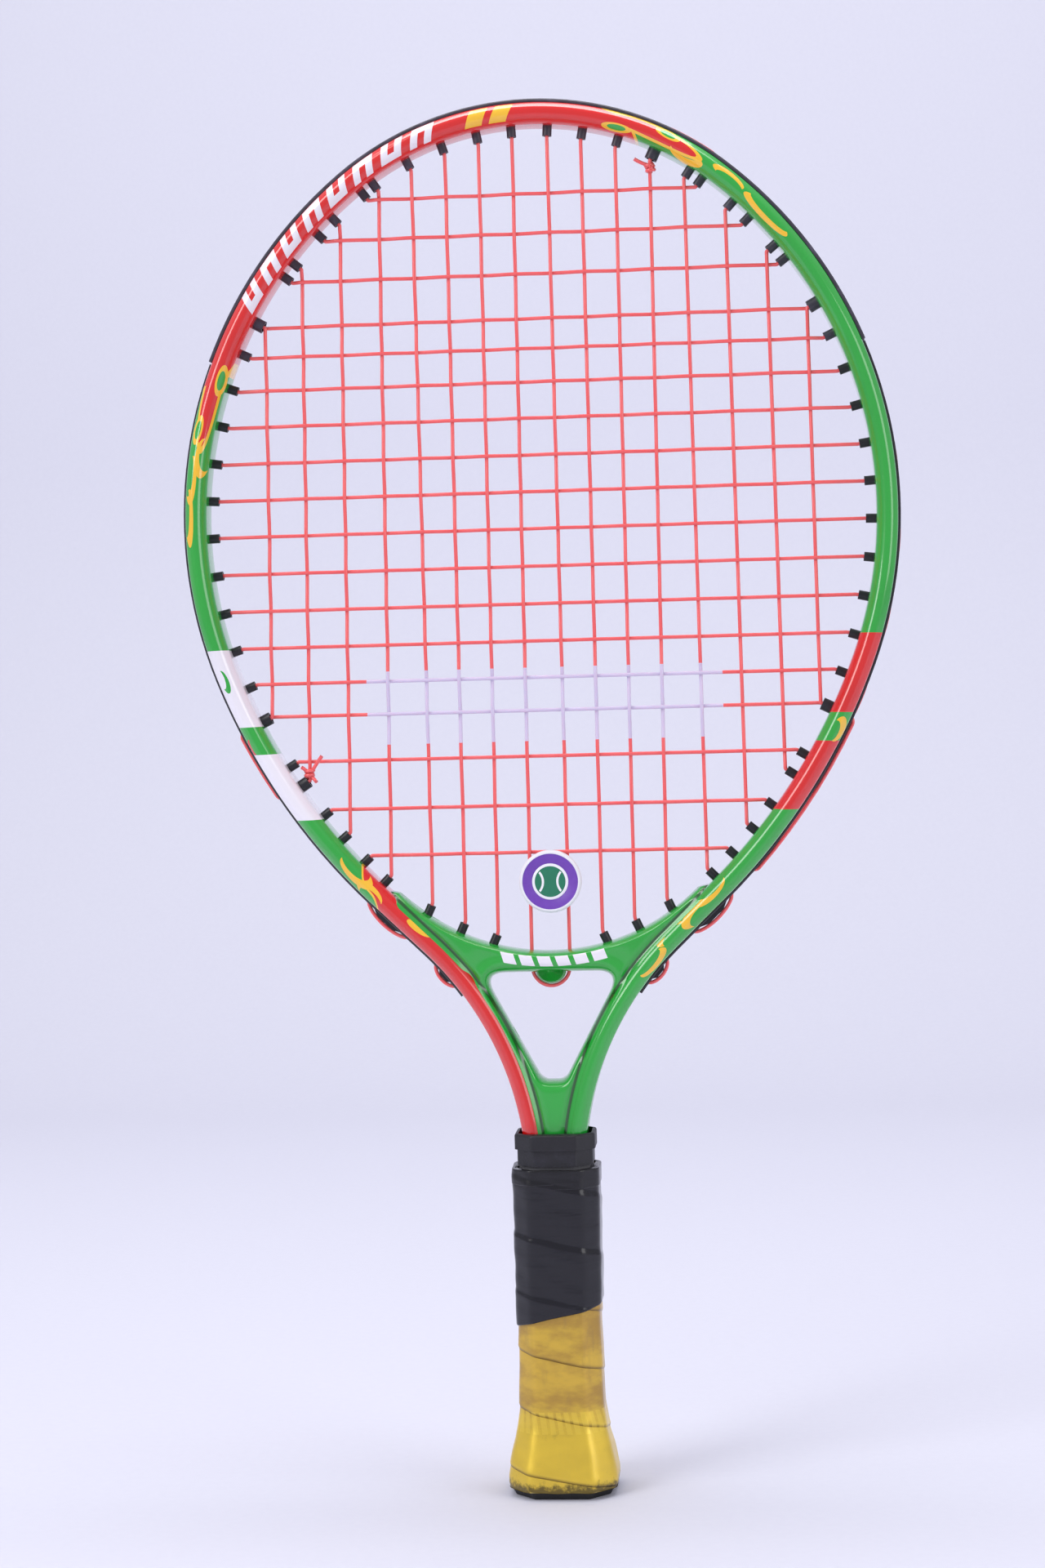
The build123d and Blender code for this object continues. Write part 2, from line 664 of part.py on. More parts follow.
with BuildPart() as handle_pallet_back:
    add(pallet.part)
    split(bisect_by=Plane.XZ.offset(-0.02), keep=Keep.BOTTOM)

with BuildPart() as handle_rivets:
    for z in rivet_heights:
        with Locations(Plane(origin=(0, 0, z), z_dir=(0, 1, 0))):
            Cylinder(rivet_radius, pallet_depth - 0.2)
        for front in (-1, 1):
            with Locations(Plane(origin=(0, front * (pallet_depth / 2 - 0.7), z), z_dir=(0, front, 0))):
                Cylinder(rivet_head, 1.2)

badge_radius, badge_recess = 11.0, 1.2
with BuildPart() as butt_cap:
    add(flared_end(0.0, cap_sections))
    add(handle_prism(pallet_width + 2 * fit_gap, pallet_depth + 2 * fit_gap, pallet_chamfer, pallet_foot_z,
                     cap_sections[-1][0] + 10), mode=Mode.SUBTRACT)
    fillet(faces().sort_by(Axis.Z)[0].edges(), 0.8)
    with Locations((0, 0, 0)):
        Cylinder(badge_radius + fit_gap, 2 * badge_recess, mode=Mode.SUBTRACT)
    # hollow behind the badge
    with Locations((0, 0, 3.0)):
        Cylinder(8.0, 8.0, mode=Mode.SUBTRACT)
    add(butt_cap_staples.part, mode=Mode.SUBTRACT)

with BuildPart() as butt_end_badge:
    with Locations((0, 0, 0.3)):
        Cylinder(badge_radius, badge_recess - 0.3, align=(Align.CENTER, Align.CENTER, Align.MIN))
    fillet(faces().sort_by(Axis.Z)[0].edges(), 0.3)

grip_width, grip_depth = pallet_width + 2 * grip_wall, pallet_depth + 2 * grip_wall
grip_chamfer, grip_rounding = pallet_chamfer + 0.6, 1.8
grip_prism_z = 28.0                   # the grip's straight part overlaps its flared end from here up
with BuildPart() as base_grip:
    add(flared_end(grip_wall, [s for s in cap_sections if s[0] >= grip_foot_z]))
    add(handle_prism(grip_width, grip_depth, grip_chamfer, grip_prism_z, grip_top_z, grip_rounding))
    add(flared_end(0.0, cap_sections), mode=Mode.SUBTRACT)
    add(pallet_blank, mode=Mode.SUBTRACT)

sleeve_edge_z, sleeve_slant = 62.8, 14.0
sleeve_blank_z = 48.0                 # the sleeve's blank starts here and is cut off at a slant above
sleeve_width, sleeve_depth = grip_width + 2 * sleeve_wall, grip_depth + 2 * sleeve_wall
sleeve_chamfer, sleeve_rounding = grip_chamfer + 0.2, 2.0
sleeve_gap = 0.01                     # keeps the sleeve's inside clear of the grip
with BuildPart() as grip_sleeve:
    with BuildSketch(Plane.XY.offset(sleeve_blank_z)):
        eight_sided(sleeve_width, sleeve_depth, sleeve_chamfer, sleeve_rounding)
    extrude(amount=grip_top_z - sleeve_blank_z)
    add(handle_prism(grip_width + sleeve_gap, grip_depth + sleeve_gap, grip_chamfer, sleeve_blank_z - 1,
                     handle_top_z, grip_rounding), mode=Mode.SUBTRACT)
    split(bisect_by=Plane(origin=(0, 0, sleeve_edge_z), z_dir=(-sin(radians(sleeve_slant)), 0,
                                                              cos(radians(sleeve_slant)))), keep=Keep.TOP)

tape_foot_z, tape_wall = 108.6, 0.25
with BuildPart() as finishing_tape:
    with BuildSketch(Plane.XY.offset(tape_foot_z)):
        eight_sided(sleeve_width + 2 * tape_wall, sleeve_depth + 2 * tape_wall, sleeve_chamfer + 0.15,
                    sleeve_rounding + 0.1)
    extrude(amount=grip_top_z - tape_foot_z)
    add(handle_prism(sleeve_width, sleeve_depth, sleeve_chamfer, sleeve_blank_z, handle_top_z,
                     sleeve_rounding), mode=Mode.SUBTRACT)

# ---------------------------------------------------------------- grip collar
collar_rim_z = 120.5
lip_z = 123.0
with BuildPart() as grip_collar:
    with BuildSketch(Plane.XY.offset(collar_foot_z)):
        eight_sided(26.3, 23.3, 5.6, 1.6)
    extrude(amount=collar_rim_z - collar_foot_z)
    with BuildSketch(Plane.XY.offset(collar_rim_z)):
        eight_sided(28.0, 25.0, 6.0, 1.8)
    extrude(amount=collar_top_z - collar_rim_z)
    fillet(edges().filter_by(lambda e: abs(e.center().Z - collar_top_z) < 0.01), 0.9)
    with BuildSketch(Plane.XY.offset(collar_foot_z)):
        eight_sided(neck_width + 0.2, neck_depth + 0.2, neck_chamfer, 1.0)
    extrude(amount=collar_rim_z - collar_foot_z, mode=Mode.SUBTRACT)
    with BuildSketch(Plane.XY.offset(collar_rim_z)):
        eight_sided(25.4, 21.0, 4.4, 1.0)
    extrude(amount=lip_z - collar_rim_z, mode=Mode.SUBTRACT)
    with BuildSketch(Plane.XY.offset(lip_z)):
        eight_sided(25.4, tube_depth + 0.4, 2.6, 0.6)
    extrude(amount=collar_top_z - lip_z, mode=Mode.SUBTRACT)

# ---------------------------------------------------------------- dampener
damper_front, damper_face = -6.4, -2.2
damper_foot_z, damper_neck_top = 206.0, 220.4
badge_inset = 8.7
main_x = 6.56                         # of the two middle mains at the dampener
groove_radius = string_radius + 0.12
with BuildPart() as dampener_body:
    with Locations(Plane(origin=(damper_x, (damper_front + damper_face) / 2, damper_z), z_dir=(0, -1, 0))):
        Cylinder(damper_radius, damper_face - damper_front)
    fillet(faces().sort_by(Axis.Y)[0].edges(), 1.3)
    fillet(faces().sort_by(Axis.Y)[-1].edges(), 0.8)
    neck_height = damper_neck_top - damper_foot_z
    with Locations((0, (damper_face + 0.9) / 2, (damper_neck_top + damper_foot_z) / 2)):
        Box(2 * main_x, 0.9 - damper_face, neck_height)
    with Locations((0, 1.3, (damper_neck_top + damper_foot_z) / 2)):
        Box(2 * main_x + 3.4, 1.6, neck_height)
    fillet(faces().sort_by(Axis.Y)[-1].edges(), 0.6)
    for side in (-1, 1):
        with Locations((side * main_x, -string_plane, (damper_neck_top + damper_foot_z) / 2)):
            Cylinder(groove_radius, neck_height + 4, mode=Mode.SUBTRACT)
    with Locations(Plane(origin=(damper_x, damper_front, damper_z), z_dir=(0, -1, 0))):
        Cylinder(badge_inset + fit_gap, 1.6, mode=Mode.SUBTRACT)

with BuildPart() as dampener_badge:
    with Locations(Plane(origin=(damper_x, damper_front + 0.3, damper_z), z_dir=(0, -1, 0))):
        Cylinder(badge_inset, 1.0)
    fillet(faces().sort_by(Axis.Y)[0].edges(), 0.35)

# ---------------------------------------------------------------- one file per sub-part
pieces = {
    "frame_tube": frame_tube.part,
    "throat_yoke": throat_yoke.part,
    "bumper_guard": bumper_guard.part,
    "left_grommet_strip": left_strip,
    "right_grommet_strip": right_strip,
    "throat_grommets": throat_grommets.part,
    "main_strings": main_strings,
    "cross_strings": cross_strings,
    "main_string_turns": main_string_turns,
    "cross_string_turns": cross_string_turns,
    "tie_off_knots": tie_off_knots,
    "handle_pallet_front": handle_pallet_front.part,
    "handle_pallet_back": handle_pallet_back.part,
    "handle_rivets": handle_rivets.part,
    "butt_cap": butt_cap.part,
    "butt_cap_staples": butt_cap_staples.part,
    "butt_end_badge": butt_end_badge.part,
    "base_grip": base_grip.part,
    "grip_sleeve": grip_sleeve.part,
    "finishing_tape": finishing_tape.part,
    "grip_collar": grip_collar.part,
    "dampener_body": dampener_body.part,
    "dampener_badge": dampener_badge.part,
}
for name, part in pieces.items():
    part.label = name
    export_step(part, f"parts/{name}.step")
    print(name, "solids", len(part.solids()), "volume", round(part.volume, 1), "valid", part.is_valid)
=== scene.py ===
import math
import bmesh
import bpy
import numpy as np
from mathutils import Matrix, Vector


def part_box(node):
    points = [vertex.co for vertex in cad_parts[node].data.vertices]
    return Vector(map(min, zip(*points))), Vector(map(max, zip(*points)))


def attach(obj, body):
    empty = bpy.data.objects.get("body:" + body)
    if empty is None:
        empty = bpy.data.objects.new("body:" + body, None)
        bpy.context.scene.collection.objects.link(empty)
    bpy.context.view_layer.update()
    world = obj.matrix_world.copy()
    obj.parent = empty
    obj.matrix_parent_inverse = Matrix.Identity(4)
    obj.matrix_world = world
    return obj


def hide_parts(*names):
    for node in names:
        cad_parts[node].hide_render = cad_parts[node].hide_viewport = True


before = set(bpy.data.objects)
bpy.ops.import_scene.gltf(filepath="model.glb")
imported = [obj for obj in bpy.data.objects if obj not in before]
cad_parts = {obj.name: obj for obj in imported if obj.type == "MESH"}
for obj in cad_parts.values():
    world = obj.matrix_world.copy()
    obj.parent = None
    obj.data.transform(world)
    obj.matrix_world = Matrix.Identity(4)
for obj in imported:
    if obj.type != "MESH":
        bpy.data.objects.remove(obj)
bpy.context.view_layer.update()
print("frame loaded:", len(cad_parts), "nodes")

mm = 0.001
tau = 2 * math.pi

# ---- camera: stands square to the head, a little left of and above its middle, and the racket leans back a little
cameraSettings = {"yaw": -4.66, "pitch": 1.81, "roll": -1.54, "distance": 993.8, "shiftX": 8.36,
                  "middleZ": 246.9, "focal": 65.62}


def rotation(yaw, pitch, roll):
    return (Matrix.Rotation(math.radians(roll), 3, "Y") @ Matrix.Rotation(math.radians(pitch), 3, "X")
            @ Matrix.Rotation(math.radians(yaw), 3, "Z"))


def makeCamera(settings):
    turn = rotation(settings["yaw"], settings["pitch"], settings["roll"])
    right, forward, up = turn[0], turn[1], turn[2]
    data = bpy.data.cameras.new("camera")
    data.lens = settings["focal"]
    data.sensor_width = 36
    data.clip_start, data.clip_end = 0.05, 20
    camera = bpy.data.objects.new("camera", data)
    bpy.context.scene.collection.objects.link(camera)
    place = -(right * settings["shiftX"] + forward * settings["distance"]) * mm
    place.z += settings["middleZ"] * mm
    camera.matrix_world = Matrix.Translation(place) @ Matrix((right, up, -forward)).transposed().to_4x4()
    bpy.context.scene.camera = camera
    return camera


makeCamera(cameraSettings)


# ---- shader nodes written as expressions
class Signal:
    # a number that travels between nodes; arithmetic on it adds Math nodes
    def __init__(self, recipe, socket):
        self.recipe = recipe
        self.socket = socket

    def math(self, operation, *others, first=None):
        values = [self, *others] if first is None else [first, self]
        node = self.recipe.add("ShaderNodeMath", {"operation": operation}, dict(enumerate(values)))
        return Signal(self.recipe, node.outputs[0])

    def __add__(self, other): return self.math("ADD", other)
    def __radd__(self, other): return self.math("ADD", other)
    def __sub__(self, other): return self.math("SUBTRACT", other)
    def __rsub__(self, other): return self.math("SUBTRACT", first=other)
    def __mul__(self, other): return self.math("MULTIPLY", other)
    def __rmul__(self, other): return self.math("MULTIPLY", other)
    def __truediv__(self, other): return self.math("DIVIDE", other)
    def __rtruediv__(self, other): return self.math("DIVIDE", first=other)
    def __pow__(self, other): return self.math("POWER", other)
    def __gt__(self, other): return self.math("GREATER_THAN", other)
    def __lt__(self, other): return self.math("LESS_THAN", other)
    def __abs__(self): return self.math("ABSOLUTE")
    def __neg__(self): return self.math("MULTIPLY", -1.0)
    def most(self, other): return self.math("MAXIMUM", other)
    def root(self): return self.math("SQRT")
    def part(self): return self.math("FRACT")
    def sine(self): return self.math("SINE")

    def ramp(self, low, high):
        # 0 below low, 1 above high and smooth between
        node = self.recipe.add("ShaderNodeMapRange", {"interpolation_type": "SMOOTHSTEP"},
                               {"Value": self, "From Min": low, "From Max": high})
        return Signal(self.recipe, node.outputs["Result"])


class Recipe:
    # one material, made node by node
    def __init__(self, name):
        self.material = bpy.data.materials.new(name)
        self.material.use_nodes = True
        self.tree = self.material.node_tree
        self.tree.nodes.clear()
        self.output = self.tree.nodes.new("ShaderNodeOutputMaterial")

    def add(self, kind, settings=None, inputs=None):
        node = self.tree.nodes.new(kind)
        for key, value in (settings or {}).items():
            if key == "stops":
                for index, (place, colour) in enumerate(value):
                    stop = (node.color_ramp.elements[index] if index < 2 else node.color_ramp.elements.new(place))
                    stop.position, stop.color = place, colour
            else:
                setattr(node, key, value)
        for key, value in (inputs or {}).items():
            if isinstance(value, Signal):
                self.tree.links.new(value.socket, node.inputs[key])
            elif isinstance(value, bpy.types.NodeSocket):
                self.tree.links.new(value, node.inputs[key])
            else:
                node.inputs[key].default_value = value
        return node

    def signal(self, node, output=0):
        return Signal(self, node.outputs[output])

    def place(self):
        # object coordinates in millimetres, as three signals
        source = self.add("ShaderNodeTexCoord").outputs["Object"]
        split = self.add("ShaderNodeSeparateXYZ", None, {0: source})
        return [Signal(self, split.outputs[index]) * 1000.0 for index in range(3)]

    def attribute(self, name):
        node = self.add("ShaderNodeAttribute", {"attribute_name": name})
        return Signal(self, node.outputs["Fac"])

    def noise(self, scale, detail=2.0, rough=0.5, stretch=(1, 1, 1)):
        source = self.add("ShaderNodeTexCoord").outputs["Object"]
        mapping = self.add("ShaderNodeMapping", None, {"Vector": source, "Scale": stretch})
        node = self.add("ShaderNodeTexNoise", None, {"Vector": mapping.outputs[0], "Scale": scale,
                                                    "Detail": detail, "Roughness": rough})
        return Signal(self, node.outputs[0])

    def mix(self, factor, first, second):
        node = self.add("ShaderNodeMix", {"data_type": "RGBA"}, {0: factor, 6: first, 7: second})
        return node.outputs[2]

    def bump(self, height, strength, distance):
        node = self.add("ShaderNodeBump", None, {"Height": height, "Strength": strength, "Distance": distance})
        return node.outputs["Normal"]

    def finish(self, **inputs):
        names = {"color": "Base Color", "roughness": "Roughness", "metallic": "Metallic", "normal": "Normal",
                 "coat": "Coat Weight", "coatRough": "Coat Roughness", "ior": "IOR",
                 "specular": "Specular IOR Level", "subsurface": "Subsurface Weight",
                 "scatter": "Subsurface Radius", "scatterScale": "Subsurface Scale"}
        surface = self.add("ShaderNodeBsdfPrincipled", None, {names[key]: value for key, value in inputs.items()})
        self.tree.links.new(surface.outputs[0], self.output.inputs["Surface"])
        return self.material


def colour(red, green, blue):
    # a colour as seen on a screen, from 0 to 255, turned to linear light
    parts = np.array([red, green, blue]) / 255
    linear = np.where(parts <= 0.04045, parts / 12.92, ((parts + 0.055) / 1.055) ** 2.4)
    return (*linear.tolist(), 1.0)


# ---- meshes from arrays
def gridFaces(rows, columns, closeRows, closeColumns):
    # quads between neighbouring rows and columns of a grid of points
    row = np.arange(rows if closeRows else rows - 1)
    column = np.arange(columns if closeColumns else columns - 1)
    row, column = np.meshgrid(row, column, indexing="ij")
    nextRow, nextColumn = (row + 1) % rows, (column + 1) % columns
    corners = [row * columns + column, nextRow * columns + column,
               nextRow * columns + nextColumn, row * columns + nextColumn]
    return np.stack([corner.ravel() for corner in corners], axis=1)


def pointsOutwards(points, faces):
    # the volume under the faces is positive where they point outwards
    first, second, third, fourth = (points[faces[:, index]] for index in range(4))
    volume = (np.einsum("ij,ij->i", first, np.cross(second, third))
              + np.einsum("ij,ij->i", first, np.cross(third, fourth))).sum()
    return volume > 0


def makePiece(name, body, replaced, material, points, faces, caps=(), attributes=None, weld=0.0):
    # a mesh object from points in millimetres
    points = np.asarray(points, float)
    if not pointsOutwards(points, faces):
        faces = faces[:, ::-1]
        caps = [cap[::-1] for cap in caps]
    mesh = bpy.data.meshes.new(name)
    mesh.from_pydata((points * mm).tolist(), [], [*faces.tolist(), *[list(map(int, cap)) for cap in caps]])
    for key, values in (attributes or {}).items():
        layer = mesh.attributes.new(key, "FLOAT", "POINT")
        layer.data.foreach_set("value", np.asarray(values, float).ravel())
    mesh.polygons.foreach_set("use_smooth", [True] * len(mesh.polygons))
    mesh.materials.append(material)
    piece = bpy.data.objects.new(name, mesh)
    bpy.context.scene.collection.objects.link(piece)
    if weld:
        shell = bmesh.new()
        shell.from_mesh(mesh)
        bmesh.ops.remove_doubles(shell, verts=shell.verts, dist=weld * mm)
        bmesh.ops.recalc_face_normals(shell, faces=shell.faces)
        shell.to_mesh(mesh)
        shell.free()
    mesh.update()
    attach(piece, body)
    if replaced:
        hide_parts(*replaced)
    return piece


def endCaps(rows, columns, offset=0):
    # faces that close the first and the last ring of a grid
    ring = np.arange(columns)
    return [offset + ring[::-1], offset + (rows - 1) * columns + ring]


def joinGrids(grids):
    # several grids of points, each (points, faces), as one
    offset, allPoints, allFaces = 0, [], []
    for points, faces in grids:
        allPoints.append(points.reshape(-1, 3))
        allFaces.append(faces + offset)
        offset += allPoints[-1].shape[0]
    return np.concatenate(allPoints), np.concatenate(allFaces)


def roundedOutline(corners, radii, steps=6):
    # a closed polygon with each corner replaced by a curve that starts and ends its radius away from it
    corners = np.array(corners, float)
    reach = np.array(radii, float)[:, None]
    before = np.roll(corners, 1, axis=0) - corners
    after = np.roll(corners, -1, axis=0) - corners
    before /= np.linalg.norm(before, axis=1, keepdims=True)
    after /= np.linalg.norm(after, axis=1, keepdims=True)
    t = np.linspace(0, 1, steps)[None, :, None]
    start, end = (corners + before * reach)[:, None], (corners + after * reach)[:, None]
    curve = (1 - t) ** 2 * start + 2 * t * (1 - t) * corners[:, None] + t ** 2 * end
    return curve.reshape(-1, 2)


# ---- the frame's centreline, in millimetres from the tip along the right side
head = {"radii": (102.2, 148.2, 213.3), "angles": (38.4, 72.3, 25.3), "throatRadius": 113.7, "shankX": 6.5,
        "tubeWidth": 7.4}
tubeLow, tubeHigh = (np.array(corner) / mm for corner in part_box("frame_tube"))
halfTube = head["tubeWidth"] / 2


def centrelineTable():
    # each stretch as its start length, start point, start heading and curvature; heading 0 is at the tip
    stretches, point, heading, length = [], np.array([0.0, tubeHigh[2] - halfTube]), 0.0, 0.0
    plan = [(1 / radius, radius * math.radians(angle)) for radius, angle in zip(head["radii"], head["angles"])]
    turn = math.radians(sum(head["angles"]) - 90)
    for curve, span in plan:
        stretches.append((length, *point, heading, curve))
        nextHeading = heading + curve * span
        point = point + np.array([math.sin(nextHeading) - math.sin(heading),
                                  math.cos(nextHeading) - math.cos(heading)]) / curve
        heading, length = nextHeading, length + span
    straight = (point[0] - head["shankX"] - head["throatRadius"] * (1 - math.cos(turn))) / math.sin(turn)
    stretches.append((length, *point, heading, 0.0))
    point = point + straight * np.array([math.cos(heading), -math.sin(heading)])
    length += straight
    curve = -1 / head["throatRadius"]
    stretches.append((length, *point, heading, curve))
    point = point + np.array([1 - math.sin(heading), -math.cos(heading)]) / curve
    length += head["throatRadius"] * turn
    stretches.append((length, *point, math.pi / 2, 0.0))
    return np.array(stretches), length + point[1] - tubeLow[2]


stretches, centrelineEnd = centrelineTable()


def alongFrame(length, out=0.0):
    # x, z and heading at a length from the tip, positive on the right; each stretch is an arc or a straight
    length = np.asarray(length, float)
    side, reach = np.where(length < 0, -1.0, 1.0), np.abs(length)
    row = stretches[np.clip(np.searchsorted(stretches[:, 0], reach, side="right") - 1, 0, len(stretches) - 1)]
    start, x0, z0, heading0, curve = (row[..., index] for index in range(5))
    run = reach - start
    heading = heading0 + curve * run
    isArc = np.abs(curve) > 1e-9
    bent = np.where(isArc, curve, 1.0)
    x = x0 + np.where(isArc, (np.sin(heading) - np.sin(heading0)) / bent, run * np.cos(heading0))
    z = z0 + np.where(isArc, (np.cos(heading) - np.cos(heading0)) / bent, -run * np.sin(heading0))
    return side * (x + out * np.sin(heading)), z + out * np.cos(heading), heading


def sweepFrame(name, replaced, material, section, start, end, step):
    # a closed section of (out, depth) points carried along the centreline
    section = np.array(section)
    lengths = np.linspace(start, end, max(2, int(abs(end - start) / step)))
    x, z, heading = alongFrame(lengths[:, None], section[None, :, 0])
    y = np.broadcast_to(section[None, :, 1], x.shape)
    points = np.stack([x, y, z], axis=2)
    rows, columns = x.shape
    faces = gridFaces(rows, columns, False, True)
    attributes = {"along": np.repeat(lengths, columns), "across": np.tile(section[:, 0], rows)}
    return makePiece(name, "racket", replaced, material, points.reshape(-1, 3), faces,
                     endCaps(rows, columns), attributes)


# ---- paint of the frame tube
paint = {"green": colour(32, 164, 54), "red": colour(216, 22, 20), "white": colour(236, 232, 240),
         "yellow": colour(245, 190, 40), "blockTops": (296.4, 269.2, 259.4, 235.8), "eyeRing": 0.62,
         "barSpan": (-124.0, -31.5), "barPitch": 11.6, "shortBarSpan": (-22.0, -4.8), "shortBarPitch": 8.6}


def paintMaterial():
    recipe = Recipe("frame paint")
    x, y, z = recipe.place()
    along, across = recipe.attribute("along"), recipe.attribute("across")
    leftSide = x < 0.0
    rightSide = 1.0 - leftSide

    def between(signal, low, high):
        return (signal > low) * (signal < high)

    def blob(s, u, halfLength, halfWidth, lean=0.0):
        # inside of a leaning ellipse on the tube's face: below 1 inside it
        shift = (along - s) / halfLength
        rise = (across - u - (along - s) * lean) / halfWidth
        return (shift * shift + rise * rise).root()

    def hook(s, u, halfLength, halfWidth, moveS, moveU, lean=0.0):
        # crescent: an ellipse less the same ellipse moved a little
        return (blob(s, u, halfLength, halfWidth, lean) < 1.0) * (
            blob(s + moveS, u + moveU, halfLength * 0.86, halfWidth * 0.86, lean) > 1.0)

    def eye(s, u, halfLength, halfWidth, lean):
        # an ellipse and the ring inside its edge
        inside = blob(s, u, halfLength, halfWidth, lean)
        return (inside < 1.0), (inside < 1.0) * (inside > paint["eyeRing"])

    # red field over the tip, ending in flame tongues on both sides
    leftTongue = blob(-152, 0.2, 22, 2.5, 0.03) < 1.0
    leftTongueEdge = blob(-152, 0.2, 24.5, 3.2, 0.03) < 1.0
    rightTongue = blob(44, 0.6, 17, 2.1, -0.04) < 1.0
    rightTongueEdge = blob(44, 0.6, 19.5, 2.9, -0.04) < 1.0
    wave = ((along * 0.33).sine() * 2.4) + across * 1.7
    field = between(along + wave, -149.0, 33.0)
    fieldEdge = between(along + wave, -151.6, 35.2)
    red = field.most(leftTongue).most(rightTongue)
    yellow = fieldEdge.most(leftTongueEdge).most(rightTongueEdge) * (1.0 - red)
    # green eyes in the flames, each with a yellow ring
    for s, u, halfLength, halfWidth, lean in ((-150, -1.9, 5.6, 1.7, 0.05), (-168.5, 1.5, 5.2, 1.6, -0.05),
                                              (31.5, -1.9, 5.4, 1.3, 0.04), (49, 1.9, 4.6, 1.5, -0.05)):
        whole, ring = eye(s, u, halfLength, halfWidth, lean)
        red = red * (1.0 - whole)
        yellow = (yellow * (1.0 - whole)).most(ring)
    # yellow curls along both sides
    for arguments in ((-178, -1.4, 7.0, 2.4, 1.6, -1.1), (-186, 1.6, 8.5, 1.9, 1.8, 1.0),
                      (-199, 1.9, 10.0, 1.6, 2.2, 1.2), (58, -1.6, 6.5, 2.1, -1.2, 1.2),
                      (74, 0.9, 6.6, 1.7, 1.0, -1.1), (92, 0.1, 10.5, 2.1, 0.6, 1.3),
                      (-338, -0.6, 7.5, 3.0, 1.9, -1.5), (-346, 1.0, 5.6, 2.6, -1.4, 1.2),
                      (352, -1.8, 7.0, 2.6, -1.6, -1.1), (361, 0.4, 6.4, 2.8, -1.8, 1.4),
                      (372, -1.5, 6.0, 2.4, -1.0, 1.4), (383, 1.0, 6.6, 2.2, 1.0, -1.2)):
        yellow = yellow.most(hook(*arguments))
    # the left shank is red from its flame down
    shankWave = along + ((along * 0.5).sine() * 1.6) + across * 2.2
    shankRed = between(shankWave, -600.0, -345.0) * leftSide
    shankEdge = between(shankWave, -600.0, -343.4) * leftSide
    yellow = yellow.most(shankEdge * (1.0 - shankRed))
    yellow = yellow * (1.0 - shankRed * (along < -352.0))
    yellow = yellow.most(between(along, -372.0, -362.0) * (blob(-367, -1.7, 5.0, 1.5, 0.12) < 1.0))
    red = red.most(shankRed)
    # blocks across both sides
    top, second, third, last = paint["blockTops"]
    level = z + abs(x) * 0.03 - 3.2
    blocks = between(level, second, top).most(between(level, last, third))
    white = blocks * leftSide
    red = red.most(blocks * rightSide)
    # small marks in the blocks
    greenMark = hook(-257.0, 1.1, 4.2, 1.5, 1.4, 0.9) * leftSide
    redMark = hook(-283.0, 2.4, 4.6, 1.7, 1.2, -1.0) * leftSide
    yellowMark = hook(280.5, 1.4, 4.6, 2.2, 1.4, -1.3) * rightSide
    white = white * (1.0 - greenMark)
    red = red.most(redMark)
    yellow = (yellow * (1.0 - blocks)).most(yellowMark)
    # slanted bars on the left of the tip: eight white, notched from alternate sides, and two plain yellow
    slant = along - across * 0.55
    fromStart, pitch = slant - paint["barSpan"][0], paint["barPitch"]
    cell, pair = (fromStart / pitch).part(), (fromStart / (2 * pitch)).part()
    bars = between(slant, *paint["barSpan"]) * between(cell, 0.10, 0.80) * between(across, -2.7, 3.3)
    outerNotch = between(across, -0.7, 3.4) * (pair < 0.5)
    innerNotch = between(across, -2.8, 1.2) * (pair > 0.5)
    bars = bars * (1.0 - between(cell, 0.34, 0.56) * outerNotch.most(innerNotch))
    shortCell = ((slant - paint["shortBarSpan"][0]) / paint["shortBarPitch"]).part()
    shortBars = between(slant, *paint["shortBarSpan"]) * between(shortCell, 0.12, 0.82)
    shortBars = shortBars * between(across, -2.6, 3.0)
    white = white.most(bars)
    yellow = yellow.most(shortBars)
    body = recipe.mix(red, paint["green"], paint["red"])
    body = recipe.mix(white, body, paint["white"])
    body = recipe.mix(yellow, body, paint["yellow"])
    # metallic depth in the lacquer and the handling marks on it
    flake = recipe.noise(3800, 1.0)
    cloud = recipe.noise(24, 3.0)
    body = recipe.mix(((cloud - 0.45) * 0.35).most(0.0), body, (0.0, 0.0, 0.0, 1.0))
    scuffs = recipe.noise(900, 4.0, 0.7, (1.0, 1.0, 0.12)).ramp(0.70, 0.82)
    peel = recipe.noise(260, 2.0)
    return recipe.finish(color=body, roughness=scuffs * 0.22 + 0.20 + flake * 0.03, coat=1.0, coatRough=0.045,
                         specular=0.5, normal=recipe.bump(peel, 0.10, 0.0004))


framePaint = paintMaterial()

tubeHalf = [(-halfTube, 5.4), (-1.2, 8.5), (1.4, 8.5), (halfTube, 6.0), (halfTube, 2.6), (2.6, 1.9)]
tubeCorners = tubeHalf + [(u, -v) for u, v in reversed(tubeHalf)]
tubeRounds = [1.5, 1.3, 1.0, 1.1, 0.35, 0.3]
tubeSection = roundedOutline(tubeCorners, tubeRounds + tubeRounds[::-1], 5)
sweepFrame("frameTube", ["frame_tube"], framePaint, tubeSection,
           -centrelineEnd, centrelineEnd, 1.6)
print("frame tube done")

# ---- throat yoke
yoke = {"arcRadius": 74.0, "arcFoot": 189.0, "openingTop": 181.6, "openingFoot": 144.0, "footZ": 104.0,
        "tipZ": 210.0, "halfDepth": 7.8, "seamOut": -1.9}
yokeCentreZ = yoke["arcFoot"] + yoke["arcRadius"]
openingHalf = [(24.1, yoke["openingTop"]), (3.9, yoke["openingFoot"])]
openingCorners = openingHalf + [(-x, z) for x, z in reversed(openingHalf)]
openingOutline = roundedOutline(openingCorners, (8.6, 2.7, 2.7, 8.6), 14)


